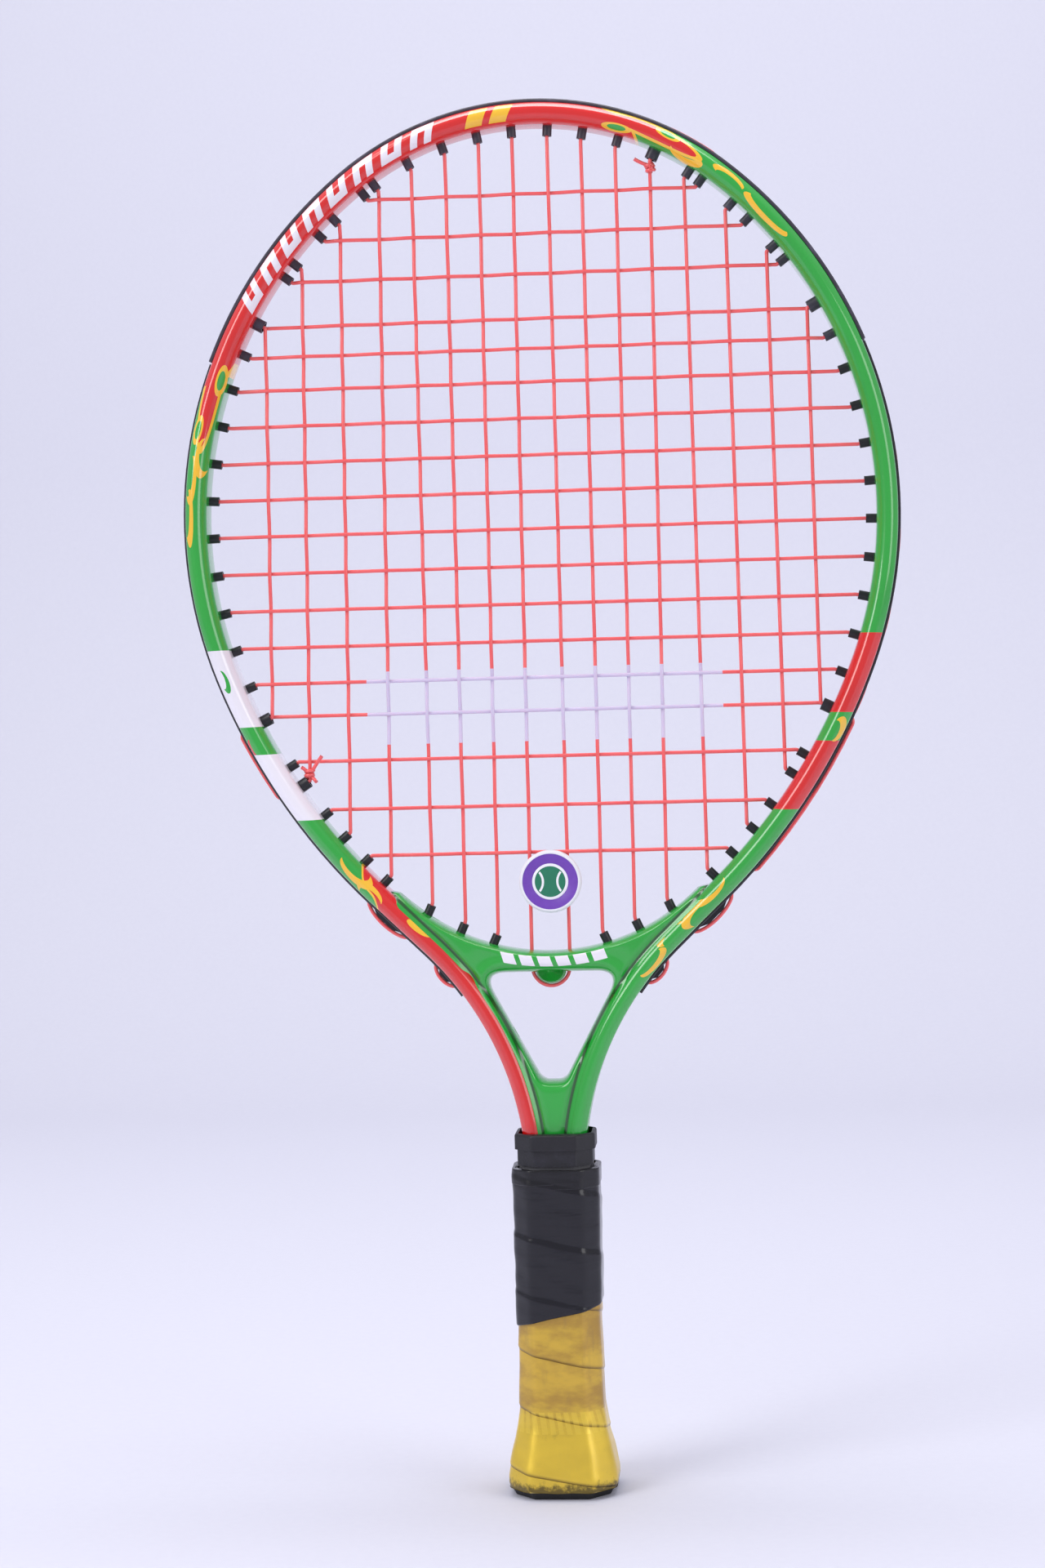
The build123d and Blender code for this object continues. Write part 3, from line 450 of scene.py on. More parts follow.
def distanceToLine(points, line, closed=False):
    # shortest distance from each point to a chain of short straights
    start = line if closed else line[:-1]
    run = (np.roll(line, -1, axis=0) if closed else line[1:]) - start
    best = np.full(points.shape[:-1], 1e9)
    for origin, way in zip(start, run):
        gap = points - origin
        share = np.clip((gap @ way) / max(way @ way, 1e-12), 0, 1)
        best = np.minimum(best, np.linalg.norm(gap - share[..., None] * way, axis=-1))
    return best


def rounded(distance, width, power):
    # rises from 0 at an edge to 1 at a width from it, as a superellipse does
    share = np.clip(distance / width, 0, 1)
    return (1 - (1 - share) ** power) ** (1 / power)


def resample(line, count):
    # evenly spaced points on a chain of straights
    gaps = np.concatenate([[0], np.cumsum(np.linalg.norm(np.diff(line, axis=0), axis=1))])
    target = np.linspace(0, gaps[-1], count)
    return np.stack([np.interp(target, gaps, line[:, index]) for index in range(line.shape[1])], axis=1)


def yokeHalf():
    # right half of the yoke's opening and of its outline, each from the top middle to the bottom middle
    lengths = np.linspace(300, centrelineEnd, 3000)
    seamX, seamZ, _ = alongFrame(lengths, yoke["seamOut"])
    wanted = (seamZ < yoke["tipZ"] + 1.5) & (seamZ > yoke["footZ"])
    seam = np.stack([seamX, seamZ], axis=1)[wanted]
    angle = np.linspace(0, math.acos((yokeCentreZ - yoke["tipZ"]) / yoke["arcRadius"]), 200)
    arc = np.stack([yoke["arcRadius"] * np.sin(angle), yokeCentreZ - yoke["arcRadius"] * np.cos(angle)], axis=1)
    tip = np.stack([arc[-1], seam[0]])
    foot = np.array([[seam[-1, 0], yoke["footZ"]], [0, yoke["footZ"]]])
    right = openingOutline[openingOutline[:, 0] > 0]
    order = np.argsort(-np.arctan2(right[:, 1] - 170, right[:, 0]))
    inner = np.concatenate([[[0, yoke["openingTop"]]], right[order], [[0, yoke["openingFoot"]]]])
    corner = 1 + int(np.argmax(right[order][:, 0] + 0.4 * right[order][:, 1]))
    outerRows = np.concatenate([resample(arc, 56), resample(tip, 9)[1:], resample(seam, 120)[1:],
                                resample(foot, 8)[1:]])
    innerRows = np.concatenate([resample(inner[:corner + 1], 60), resample(inner[corner:], 131)[1:]])
    return innerRows, outerRows


def acrossYoke(flat):
    # half depth of the yoke: round along the opening, the bridge and the tips, with a valley along the tube
    onEdge = 0.004
    openGap = np.maximum(distanceToLine(flat, innerRing, closed=True) - onEdge, 0)
    arcGap = np.maximum(np.hypot(flat[..., 0], flat[..., 1] - yokeCentreZ) - yoke["arcRadius"] - onEdge, 0)
    tubeX, tubeZ, _ = alongFrame(np.linspace(330, centrelineEnd, 200), -halfTube)
    tubeLine = np.stack([tubeX, tubeZ], axis=1)
    tubeGap = np.minimum(distanceToLine(flat, tubeLine), distanceToLine(flat * [-1, 1], tubeLine))
    x, z = np.abs(flat[..., 0]), flat[..., 1]
    tipGap = np.where(x > 44, np.maximum(yoke["tipZ"] + 1.5 - z, 0), 9.0)
    bridge = np.clip((z - 172) / 12, 0, 1) * np.clip((34 - x) / 14, 0, 1)
    strut = np.clip((x - 13) / 8, 0, 1) * np.clip((z - 172) / 8, 0, 1)
    height = yoke["halfDepth"] * rounded(openGap, 3.4 + 1.6 * bridge, 2.3) * rounded(arcGap, 2.6, 2.3)
    height = height * rounded(tipGap, 7.0, 2.0) * (1 - 0.15 * np.exp(-(tubeGap / 1.3) ** 2))
    height = height * (1 - 0.10 * np.exp(-((openGap - 6.5) / 3.0) ** 2) * strut)
    return height, tubeGap


innerRight, outerRight = yokeHalf()
innerRing = np.concatenate([innerRight, (innerRight * [-1, 1])[-2:0:-1]])
outerRing = np.concatenate([outerRight, (outerRight * [-1, 1])[-2:0:-1]])
share = (0.5 - 0.5 * np.cos(np.linspace(0, math.pi, 44)))[None, :, None]
yokeFlat = innerRing[:, None] * (1 - share) + outerRing[:, None] * share
yokeHeight, tubeGap = acrossYoke(yokeFlat)
front = np.stack([yokeFlat[..., 0], -yokeHeight, yokeFlat[..., 1]], axis=2)
back = front * [1, -1, 1]
rows, columns = front.shape[:2]
frontFaces = gridFaces(rows, columns, True, False)
backFaces = frontFaces[:, ::-1] + rows * columns
ring = np.arange(rows)
rim = ring * columns + columns - 1
nextRim = (ring + 1) % rows * columns + columns - 1
outerWall = np.stack([rim, nextRim, nextRim + rows * columns, rim + rows * columns], axis=1)
yokePoints = np.concatenate([front.reshape(-1, 3), back.reshape(-1, 3)])
yokeSeam = np.concatenate([tubeGap.ravel(), tubeGap.ravel()])


def yokeMaterial():
    recipe = Recipe("yoke plastic")
    x, y, z = recipe.place()
    seam = recipe.attribute("seam")
    shade = recipe.noise(30, 3.0)
    base = recipe.mix(((shade - 0.45) * 0.3).most(0.0), paint["green"], (0.0, 0.02, 0.0, 1.0))
    # six plain slanted bars across the bridge's face, low enough to follow its arc
    ringOut = (x * x + (z - yokeCentreZ) * (z - yokeCentreZ)).root() - yoke["arcRadius"]
    slant = x - ringOut * 0.35
    cell = ((slant + 18.6) / 6.3).part()
    bars = (abs(slant) < 18.6) * (cell > 0.14) * (cell < 0.86) * (ringOut > 1.5) * (ringOut < 5.0) * (y < 0.0)
    base = recipe.mix(bars, base, paint["white"])
    # painted shade: the yoke darkens to near black along its seam with the tube, a thin dark gap together with the
    # shadow that falls in the joint
    gap = 1.0 - seam.ramp(0.30, 0.75)
    base = recipe.mix(gap * 0.8, base, (0.01, 0.02, 0.01, 1.0))
    peel = recipe.noise(300, 2.0)
    scuffs = recipe.noise(700, 4.0, 0.7).ramp(0.68, 0.80)
    return recipe.finish(color=base, roughness=scuffs * 0.2 + 0.20, coat=0.8, coatRough=0.07,
                         normal=recipe.bump(peel, 0.12, 0.0004))


makePiece("throatYoke", "racket", ["throat_yoke"], yokeMaterial(), yokePoints,
          np.concatenate([frontFaces, backFaces, outerWall]), attributes={"seam": yokeSeam}, weld=0.002)


hump = {"radius": 6.4, "rimDrop": 1.1, "rimPower": 3.2, "wide": 0.83, "tall": 0.73, "halfDepth": 3.6,
        "steps": 72, "layers": 17}


def humpPiece():
    # half disc under the bridge that carries the middle string loop, with a rounded rim
    steps, layers = hump["steps"], hump["layers"]
    angle = np.linspace(0, tau, steps, endpoint=False)[:, None]
    depth = np.linspace(-1, 1, layers)
    rim = (1 - np.abs(depth) ** hump["rimPower"]) ** (1 / hump["rimPower"])
    reach = (hump["radius"] - hump["rimDrop"] * (1 - rim))[None, :]
    x = np.cos(angle) * reach * hump["wide"]
    z = string["humpZ"] + np.sin(angle) * reach * hump["tall"]
    y = np.broadcast_to(depth[None, :] * hump["halfDepth"], x.shape)
    points = np.stack([x, y, z], axis=2)
    ring = np.arange(steps) * layers
    awayFromSeam = np.full(steps * layers, 9.0)
    return makePiece("bridgeHump", "racket", [], bpy.data.materials["yoke plastic"],
                     points.reshape(-1, 3), gridFaces(steps, layers, True, False),
                     [ring, (ring + layers - 1)[::-1]], {"seam": awayFromSeam})


print("throat yoke done")

# ---- strings
string = {"radius": 0.65, "plane": 0.68, "weave": 0.62, "barrelProud": 3.4, "sides": 10,
          "topX": (6.05, 17.7, 29.5, 41.3, 52.9, 66.8, 80.6, 94.0),
          "footX": (6.6, 19.9, 31.2, 42.6, 55.1, 69.1, 82.8, 95.5),
          "crossZ": (451.0, 437.4, 423.5, 411.1, 397.8, 386.3, 373.8, 361.1, 348.4, 335.6, 322.6, 309.6, 296.7,
                     284.1, 271.2, 256.7, 239.7, 223.3),
          "sharedTop": 3, "sharedFoot": 14, "humpZ": 182.2, "barrelLean": 25.0, "ferruleDepth": (0, 7.0, 4.0, 1.7),
          "yokeMains": 4, "bandHalfWidth": 62.0, "bandFoot": 262.0, "bandTop": 287.5}
outermost, lowest = len(string["topX"]) - 1, len(string["crossZ"]) - 1
mouthInset = halfTube + string["barrelProud"]
bendInset = mouthInset + 0.6
stringOut = halfTube + 0.2
tableLengths = np.linspace(0, 420, 8400)
insetX, insetZ, _ = alongFrame(tableLengths, -bendInset)
widest = int(np.argmax(insetX))


def lengthAtX(x, lower=False):
    if lower:
        return float(np.interp(-x, -insetX[widest:], tableLengths[widest:]))
    return float(np.interp(x, insetX[:widest], tableLengths[:widest]))


def lengthAtZ(z):
    return float(np.interp(-z, -insetZ, tableLengths))


def framePoint(length, out, y):
    x, z, _ = alongFrame(length, out)
    return np.array([float(x), y, float(z)])


def hoopHole(length, y):
    # bend at the barrel's mouth, then the way out
    return [framePoint(length, -bendInset, y), framePoint(length, stringOut, y)]


def yokeHole(side, index, y):
    x = string["footX"][index]
    edge = np.array([side * x, y, yokeCentreZ - math.sqrt(yoke["arcRadius"] ** 2 - x * x)])
    if index == 0:
        return [edge + [0, 0, 0.6], np.array([side * x, y, string["humpZ"] + 0.4])]
    lean = math.radians(string["barrelLean"])
    outward = np.array([side * math.sin(lean), 0, -math.cos(lean)])
    inner = edge + outward * (string["ferruleDepth"][index] + 0.3)
    lengths = np.linspace(300, 460, 3200)
    x, z, _ = alongFrame(lengths)
    nearest = lengths[np.argmin(np.hypot(x - abs(inner[0]), z - inner[2]))]
    return [edge - outward * 4.0, inner, framePoint(side * nearest, stringOut, y)]


mainX = [(side, index) for side in (-1, 1) for index in range(outermost + 1)]
mainHeads = {(side, i): hoopHole(side * lengthAtX(string["topX"][i]), -string["plane"]) for side, i in mainX}
mainFeet = {(side, i): yokeHole(side, i, -string["plane"]) if i < string["yokeMains"]
            else hoopHole(side * lengthAtX(string["footX"][i], True), -string["plane"]) for side, i in mainX}
crossLengths = [lengthAtX(string["topX"][outermost]) if j == string["sharedTop"]
                else lengthAtX(string["footX"][outermost], True) if j == string["sharedFoot"]
                else lengthAtZ(z) for j, z in enumerate(string["crossZ"])]
crossEnds = {(side, j): hoopHole(side * length, string["plane"]) for side in (-1, 1)
             for j, length in enumerate(crossLengths)}


def easeCorners(points, reach, sharp=True):
    # each sharp inner corner of a chain becomes a short curve that begins and ends up to its reach away
    points = np.array(points, float)
    reach = np.broadcast_to(np.asarray(reach, float), (len(points) - 2,))
    corner = points[1:-1]
    before, after = points[:-2] - corner, points[2:] - corner
    beforeLength = np.linalg.norm(before, axis=1)
    afterLength = np.linalg.norm(after, axis=1)
    cut = np.minimum(reach, 0.45 * np.minimum(beforeLength, afterLength))[:, None]
    start = corner + before / beforeLength[:, None] * cut
    end = corner + after / afterLength[:, None] * cut
    t = np.linspace(0, 1, 7)[None, :, None]
    curve = (1 - t) ** 2 * start[:, None] + 2 * t * (1 - t) * corner[:, None] + t ** 2 * end[:, None]
    kept = np.zeros(curve.shape[:2], bool) | np.broadcast_to(sharp, len(corner))[:, None]
    curve[:, 3][~kept[:, 3]] = corner[~kept[:, 3]]
    kept[:, 3] = True
    return np.concatenate([points[:1], curve[kept], points[-1:]])


def tubeGrid(points, radius, sides):
    # a round tube: rings square to the chain of points, turned as little as possible from ring to ring
    keep = np.concatenate([[True], np.linalg.norm(np.diff(points, axis=0), axis=1) > 1e-4])
    points = points[keep]
    way = np.gradient(points, axis=0)
    way /= np.linalg.norm(way, axis=1, keepdims=True)
    across = np.zeros_like(way)
    normal = np.cross(way[0], [0, 1, 0])
    if np.linalg.norm(normal) < 0.1:
        normal = np.cross(way[0], [1, 0, 0])
    for index in range(len(points)):
        normal = normal - way[index] * (normal @ way[index])
        normal = normal / np.linalg.norm(normal)
        across[index] = normal
    other = np.cross(way, across)
    angle = np.linspace(0, tau, sides, endpoint=False)
    radius = np.broadcast_to(np.asarray(radius, float), (len(points),))[:, None, None]
    rings = points[:, None] + radius * (np.cos(angle)[None, :, None] * across[:, None]
                                        + np.sin(angle)[None, :, None] * other[:, None])
    return rings, gridFaces(len(points), sides, False, True)


def wovenRun(first, last, crossings, phase):
    # between two bends: over and under at each crossing, each change a half cosine
    spots = np.concatenate([[0.0], crossings, [1.0]])
    sign = np.where((np.arange(len(crossings)) + phase) % 2 == 0, -1.0, 1.0)
    levels = np.concatenate([[first[1]], string["weave"] * sign, [last[1]]])
    steps = np.linspace(0, 1, 9)[:-1]
    ease = (1 - np.cos(math.pi * steps)) / 2
    at = (spots[:-1, None] + (spots[1:] - spots[:-1])[:, None] * steps[None]).ravel()
    y = (levels[:-1, None] + (levels[1:] - levels[:-1])[:, None] * ease[None]).ravel()
    line = first[None] + (last - first)[None] * at[:, None]
    line[:, 1] = y
    return line[1:]


def mainBed(side, index):
    top, foot = mainHeads[side, index][0], mainFeet[side, index][0]
    shares, count = [], 0
    for j in range(len(string["crossZ"])):
        leftEnd, rightEnd = crossEnds[-1, j][0], crossEnds[1, j][0]
        if not leftEnd[0] < top[0] < rightEnd[0]:
            continue
        z = leftEnd[2] + (rightEnd[2] - leftEnd[2]) * (top[0] - leftEnd[0]) / (rightEnd[0] - leftEnd[0])
        part = (z - top[2]) / (foot[2] - top[2])
        if 0.004 < part < 0.996:
            shares.append((part, j))
    number = index if side > 0 else -index - 1
    start = shares[0][1]
    return wovenRun(top, foot, np.array([s for s, _ in shares]), (number + start) % 2)


def crossBed(j):
    left, right = crossEnds[-1, j][0], crossEnds[1, j][0]
    shares = []
    for side, index in mainX:
        top, foot = mainHeads[side, index][0], mainFeet[side, index][0]
        part = (top[2] - left[2]) / (top[2] - foot[2])
        if not 0.004 < part < 0.996:
            continue
        x = top[0] + (foot[0] - top[0]) * part
        where = (x - left[0]) / (right[0] - left[0])
        if 0.003 < where < 0.997:
            shares.append((where, index if side > 0 else -index - 1))
    shares.sort()
    return wovenRun(left, right, np.array([s for s, _ in shares]), (shares[0][1] + j + 1) % 2)


def turnPoints(first, second, bulge):
    # out through one hole, over a bowed run outside the frame and in through the next
    exits = np.array([first[-1], second[-1]])
    outward = (first[-1] - first[-2]) / np.linalg.norm(first[-1] - first[-2]) \
        + (second[-1] - second[-2]) / np.linalg.norm(second[-1] - second[-2])
    outward /= np.linalg.norm(outward)
    share = np.linspace(0.06, 0.94, 13)[:, None]
    bow = exits[0] * (1 - share) + exits[1] * share + outward * bulge * (4 * share * (1 - share)) ** 0.6
    return [*first, *bow, *second[::-1]]


def mainPath():
    # from the far left main's foot to the far right main's foot
    order = [(-1, i) for i in range(outermost, -1, -1)] + [(1, i) for i in range(outermost + 1)]
    points, upwards = [mainFeet[-1, outermost][-1]], True
    for number, key in enumerate(order):
        bed = mainBed(*key)
        points.extend([mainFeet[key][0], *bed[::-1], mainHeads[key][0]] if upwards
                      else [mainHeads[key][0], *bed, mainFeet[key][0]])
        if number < len(order) - 1:
            following = order[number + 1]
            holes = mainHeads if upwards else mainFeet
            inner = min(key[1], following[1])
            bulge = 0.6 if upwards or key[0] != following[0] else {1: 2.6, 3: 3.0, 5: 0.7}[inner]
            if not upwards and inner == 0:
                bulge = 5.9
            points.extend(turnPoints(holes[key], holes[following], bulge)[1:-1])
        upwards = not upwards
    points.append(mainFeet[1, outermost][-1])
    return np.array(points)


def crossPath():
    # from the right end of the lowest cross up to the right end of the topmost
    points, leftwards = [crossEnds[1, lowest][-1]], True
    for j in range(lowest, -1, -1):
        bed = crossBed(j)
        first, last = crossEnds[1, j][0], crossEnds[-1, j][0]
        points.extend([first, *bed[::-1], last] if leftwards else [last, *bed, first])
        side = -1 if leftwards else 1
        if j:
            points.extend(turnPoints(crossEnds[side, j], crossEnds[side, j - 1], 0.55)[1:-1])
        leftwards = not leftwards
    points.append(crossEnds[1, 0][-1])
    return np.array(points)


def smoothBends(points):
    # corners sharper than a few degrees are eased, so that the string bends as nylon does
    way = np.diff(points, axis=0)
    length = np.linalg.norm(way, axis=1)
    points = points[np.concatenate([[True], length > 1e-3])]
    way = np.diff(points, axis=0)
    way /= np.linalg.norm(way, axis=1, keepdims=True)
    bend = np.degrees(np.arccos(np.clip((way[:-1] * way[1:]).sum(axis=1), -1, 1)))
    reach = np.interp(bend, [0, 8, 30, 60], [0.3, 0.8, 1.5, 2.2])
    return easeCorners(points, reach, bend > 9)


def stringMaterial():
    recipe = Recipe("coral string")
    x, y, z = recipe.place()
    # one plain white band that is rolled across the lower strings
    band = (abs(x) < string["bandHalfWidth"]) * (z > string["bandFoot"]) * (z < string["bandTop"])
    coral = recipe.mix(recipe.noise(60, 2.0), colour(244, 106, 106), colour(236, 84, 88))
    tone = recipe.mix(band * 0.95, coral, colour(208, 200, 228))
    fine = recipe.noise(2600, 2.0)
    return recipe.finish(color=tone, roughness=fine * 0.10 + 0.24, coat=0.35, coatRough=0.12, ior=1.53,
                         subsurface=0.25, scatter=(1.0, 0.35, 0.35), scatterScale=0.0008,
                         normal=recipe.bump(fine, 0.15, 0.0002))


coralString = stringMaterial()
humpPiece()


def stringPiece(name, replaced, runs):
    grids = [tubeGrid(points, string["radius"], string["sides"]) for points in runs]
    caps, offset = [], 0
    for rings, _ in grids:
        rows, columns = rings.shape[:2]
        caps += endCaps(rows, columns, offset)
        offset += rows * columns
    points, faces = joinGrids(grids)
    return makePiece(name, "racket", replaced, coralString, points, faces, caps)


stringPiece("mainString", ["main_strings", "main_string_turns"], [smoothBends(mainPath())])
lastFoot, lowestCross = mainFeet[1, outermost], crossEnds[1, lowest]
firstCross, tieHead = crossEnds[1, 0], mainHeads[1, 3]
freeFoot, tieFoot = mainFeet[-1, outermost], mainFeet[-1, outermost - 1]
overLayer = stringOut + 2 * string["radius"] + 0.1


def outsideRun(start, end, y0, y1, count):
    # along the outside of the frame, on top of the turns between
    share = np.linspace(0, 1, count)
    return [framePoint(start + (end - start) * s, overLayer, y0 + (y1 - y0) * s) for s in share]


plane = string["plane"]
footLength, lowLength = lengthAtX(string["footX"][outermost], True), crossLengths[lowest]
linkRun = [lastFoot[1], *outsideRun(footLength + 1.5, lowLength - 1.5, -plane, plane, 8), lowestCross[1]]
headStart, headEnd = crossLengths[0], lengthAtX(string["topX"][3])
tieHeadRun = [firstCross[1], *outsideRun(headStart - 1.5, headEnd + 1.5, plane, plane, 5),
              framePoint(headEnd, stringOut, plane), framePoint(headEnd, -bendInset, plane)]
tieFootEnd = lengthAtX(string["footX"][6], True)
tieFootRun = [freeFoot[1], *outsideRun(-footLength - 1.5, -tieFootEnd + 1.5, -plane, plane, 4),
              framePoint(-tieFootEnd, stringOut, plane), framePoint(-tieFootEnd, -bendInset, plane)]
crossRuns = [smoothBends(np.array(run)) for run in (crossPath(), linkRun, tieHeadRun, tieFootRun)]
stringPiece("crossString", ["cross_strings", "cross_string_turns"], crossRuns)


def hitch(start, way, entry, tails, seed):
    # the tied end: in from the grommet, three uneven rings round the main, and cut tails
    generator = np.random.default_rng(seed)
    side = np.cross(way, [0, 1, 0])
    side /= np.linalg.norm(side)
    turns = np.linspace(0.25, 3.1, 46)
    reach = 1.28 + 0.28 * np.sin(turns * 5.1 + seed)
    rise = 0.9 + turns * 0.86 + 0.3 * np.sin(turns * tau * 0.5)
    rings = (start + way * rise[:, None] + side * (np.sin(turns * tau) * reach)[:, None]
             + np.array([0, 1, 0]) * (np.cos(turns * tau) * reach)[:, None])
    runs = [np.concatenate([[entry], rings])]
    for tail in tails:
        root = start + way * (1.6 + generator.random() * 0.8)
        middle = root + np.array(tail) * 0.5 + generator.normal(0, 0.25, 3)
        share = np.linspace(0, 1, 12)[:, None]
        runs.append((1 - share) ** 2 * root + 2 * share * (1 - share) * middle + share ** 2 * (root + tail))
    return runs


knotRuns = []
headTails = [(-5.2, -1.6, 2.2), (0.6, -2.6, -1.2)]
footTails = [(4.6, -1.8, 6.6), (-2.6, -1.9, 2.4), (2.4, -1.7, -2.2)]
for holes, far, tails, seed in ((tieHead, mainFeet[1, 3], headTails, 3),
                                (tieFoot, mainHeads[-1, outermost - 1], footTails, 8)):
    bendPoint = holes[0]
    way = (far[0] - bendPoint) / np.linalg.norm(far[0] - bendPoint)
    entry = np.array([bendPoint[0], plane, bendPoint[2]])
    knotRuns += hitch(bendPoint, way, entry, tails, seed)
stringPiece("tieKnots", ["tie_off_knots"], [easeCorners(run, 0.5) for run in knotRuns])
print("strings done")


# ---- handle surfaces
def eightSided(angle, width, depth, corner, sharp=26.0):
    # radius of a rounded eight-sided section: the nearest of eight flats, blended by a high power
    directions = np.arange(8) * math.pi / 4
    diagonal = (width / 2 + depth / 2 - corner) / math.sqrt(2)
    flats = [width / 2, diagonal, depth / 2, diagonal] * 2
    total = 0.0
    for direction, flat in zip(directions, flats):
        total = total + np.maximum(np.cos(angle - direction) / flat, 0) ** sharp
    return total ** (-1 / sharp)


grip = {"z": (2.0, 4.5, 7.0, 11.0, 16.0, 20.0, 24.0, 30.0, 60.0, 113.5),
        "width": (37.4, 38.6, 38.7, 37.4, 35.3, 33.4, 31.8, 30.2, 29.3, 29.3),
        "depth": (33.8, 35.0, 35.1, 33.9, 31.8, 29.9, 28.3, 26.9, 26.1, 26.1),
        "pitch": 20.2, "ribbon": 23.6, "lip": 0.42, "seamFront": 48.8, "turns": (0.72, 7.36)}
gripLow, gripHigh = (np.array(corner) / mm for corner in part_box("base_grip"))
topSeamZ = grip["seamFront"] + 4 * grip["pitch"]


def gripRadius(angle, z, out=0.0):
    width = np.interp(z, grip["z"], grip["width"]) + 2 * out
    depth = np.interp(z, grip["z"], grip["depth"]) + 2 * out
    corner = 5.9 * width / 29.3
    return eightSided(angle, width, depth, corner)


def aroundHandle(radius, angle, z):
    # points at a radius and an angle about the handle's axis
    return np.stack([radius * np.cos(angle), radius * np.sin(angle), z], axis=2)


def ripple(angle, z, seed, strength):
    # slow uneven waves over the handle, a sum of five sines
    generator = np.random.default_rng(seed)
    total = 0.0
    for _ in range(5):
        turns = generator.integers(1, 7)
        rate = generator.uniform(0.12, 0.75)
        total = total + generator.uniform(0.4, 1) * np.sin(turns * angle + rate * z + generator.uniform(0, tau))
    return total * strength / 3


def goldWrap():
    # a long strip wound down the handle: each turn lies with its lower edge over the next
    start, end = grip["turns"]
    along = np.linspace(start, end, int((end - start) * 132))
    across = np.linspace(0, 1, 26)
    spin, width = np.meshgrid(along, across, indexing="ij")
    angle = spin * tau - math.pi / 2
    seamZ = topSeamZ - spin * grip["pitch"]
    z = seamZ + (width - 0.5) * grip["ribbon"] + grip["pitch"] / 2
    lip = grip["lip"] * np.clip(1 - width, 0, 1) ** 1.4
    edge = np.minimum(width, 1 - width) * grip["ribbon"]
    soft = (1 - np.clip(1 - edge / 0.7, 0, 1) ** 2) * 0.34 - 0.34
    lowEdge = gripLow[2] + 0.4 + 0.5 * np.abs(ripple(angle, 0.0, 5, 1.0))
    clamped = np.clip(z, lowEdge, gripHigh[2])
    outer = gripRadius(angle, clamped, -0.42) + lip + soft
    creases = ripple(angle, clamped, 11, 0.10) * np.clip((34 - clamped) / 20, 0, 1)
    outer = outer + ripple(angle, clamped, 2, 0.05) + creases
    inner = gripRadius(angle, clamped, -1.1)
    outer = np.maximum(outer, inner + 0.05)
    points = np.concatenate([aroundHandle(outer, angle, clamped),
                             aroundHandle(inner, angle, clamped)[:, ::-1]], axis=1)
    rows, columns = points.shape[:2]
    strip = np.concatenate([width, width[:, ::-1]], axis=1)
    return makePiece("goldWrap", "racket", ["base_grip"], goldMaterial(), points.reshape(-1, 3),
                     gridFaces(rows, columns, False, True), endCaps(rows, columns), {"strip": strip})


def goldMaterial():
    recipe = Recipe("gold wrap")
    x, y, z = recipe.place()
    strip = recipe.attribute("strip")
    cloud = recipe.noise(55, 4.0, 0.6, (1, 1, 2.2))
    smear = recipe.noise(220, 3.0, 0.6, (1, 1, 0.25))
    gold = recipe.mix(cloud.ramp(0.35, 0.68), colour(176, 138, 56), colour(214, 176, 62))
    gold = recipe.mix(smear.ramp(0.52, 0.75) * 0.4, gold, colour(150, 122, 70))
    # the lower end is brighter where the top film still shines
    fresh = (z * -1.0 + 34.0 + (cloud - 0.5) * 18.0).ramp(0.0, 12.0)
    gold = recipe.mix(fresh * 0.75, gold, colour(232, 200, 60))
    grime = (1.0 - strip.ramp(0.01, 0.06)).most((recipe.noise(90, 5.0, 0.7) - 0.62).ramp(0.0, 0.12) * 0.5)
    gold = recipe.mix(grime * 0.55, gold, colour(84, 64, 34))
    dirty = (6.5 - z + (recipe.noise(420, 4.0, 0.6) - 0.5) * 9.0).ramp(0.0, 3.0)
    gold = recipe.mix(dirty * 0.8, gold, colour(40, 34, 24))
    # pressed pattern: rows of small slanted bars where the flare begins
    angle = recipe.add("ShaderNodeMath", {"operation": "ARCTAN2"}, {0: y, 1: x})
    pressedBars = 32
    around = recipe.signal(angle) * (pressedBars / tau)
    row = (z > 22.5) * (z < 30.0)
    cell = (around + z * 0.06).part()
    pressed = row * (cell > 0.16) * (cell < 0.80)
    hair = recipe.noise(1400, 3.0, 0.7, (1, 1, 3.0))
    height = pressed * 0.55 + hair * 0.16 + smear * 0.25
    gold = recipe.mix(pressed * 0.45, gold, colour(240, 208, 74))
    return recipe.finish(color=gold, roughness=0.34 + cloud * 0.18 - pressed * 0.08, metallic=0.55,
                         coat=0.45, coatRough=0.22, normal=recipe.bump(height, 0.5, 0.0006))


goldWrap()

sleeve = {"footZ": 62.8, "slant": 14.0, "topZ": 113.4, "out": 0.36}


def wrapSwell(angle, z, sharpness):
    # how far the strip under a film lifts it: a soft step at each seam of the winding
    phase = (topSeamZ - z) / grip["pitch"] - (angle + math.pi / 2) / tau
    phase = phase - np.floor(phase)
    climb = np.clip(phase / 0.12, 0, 1)
    return 0.42 * (1 - phase) ** sharpness * climb * climb * (3 - 2 * climb)


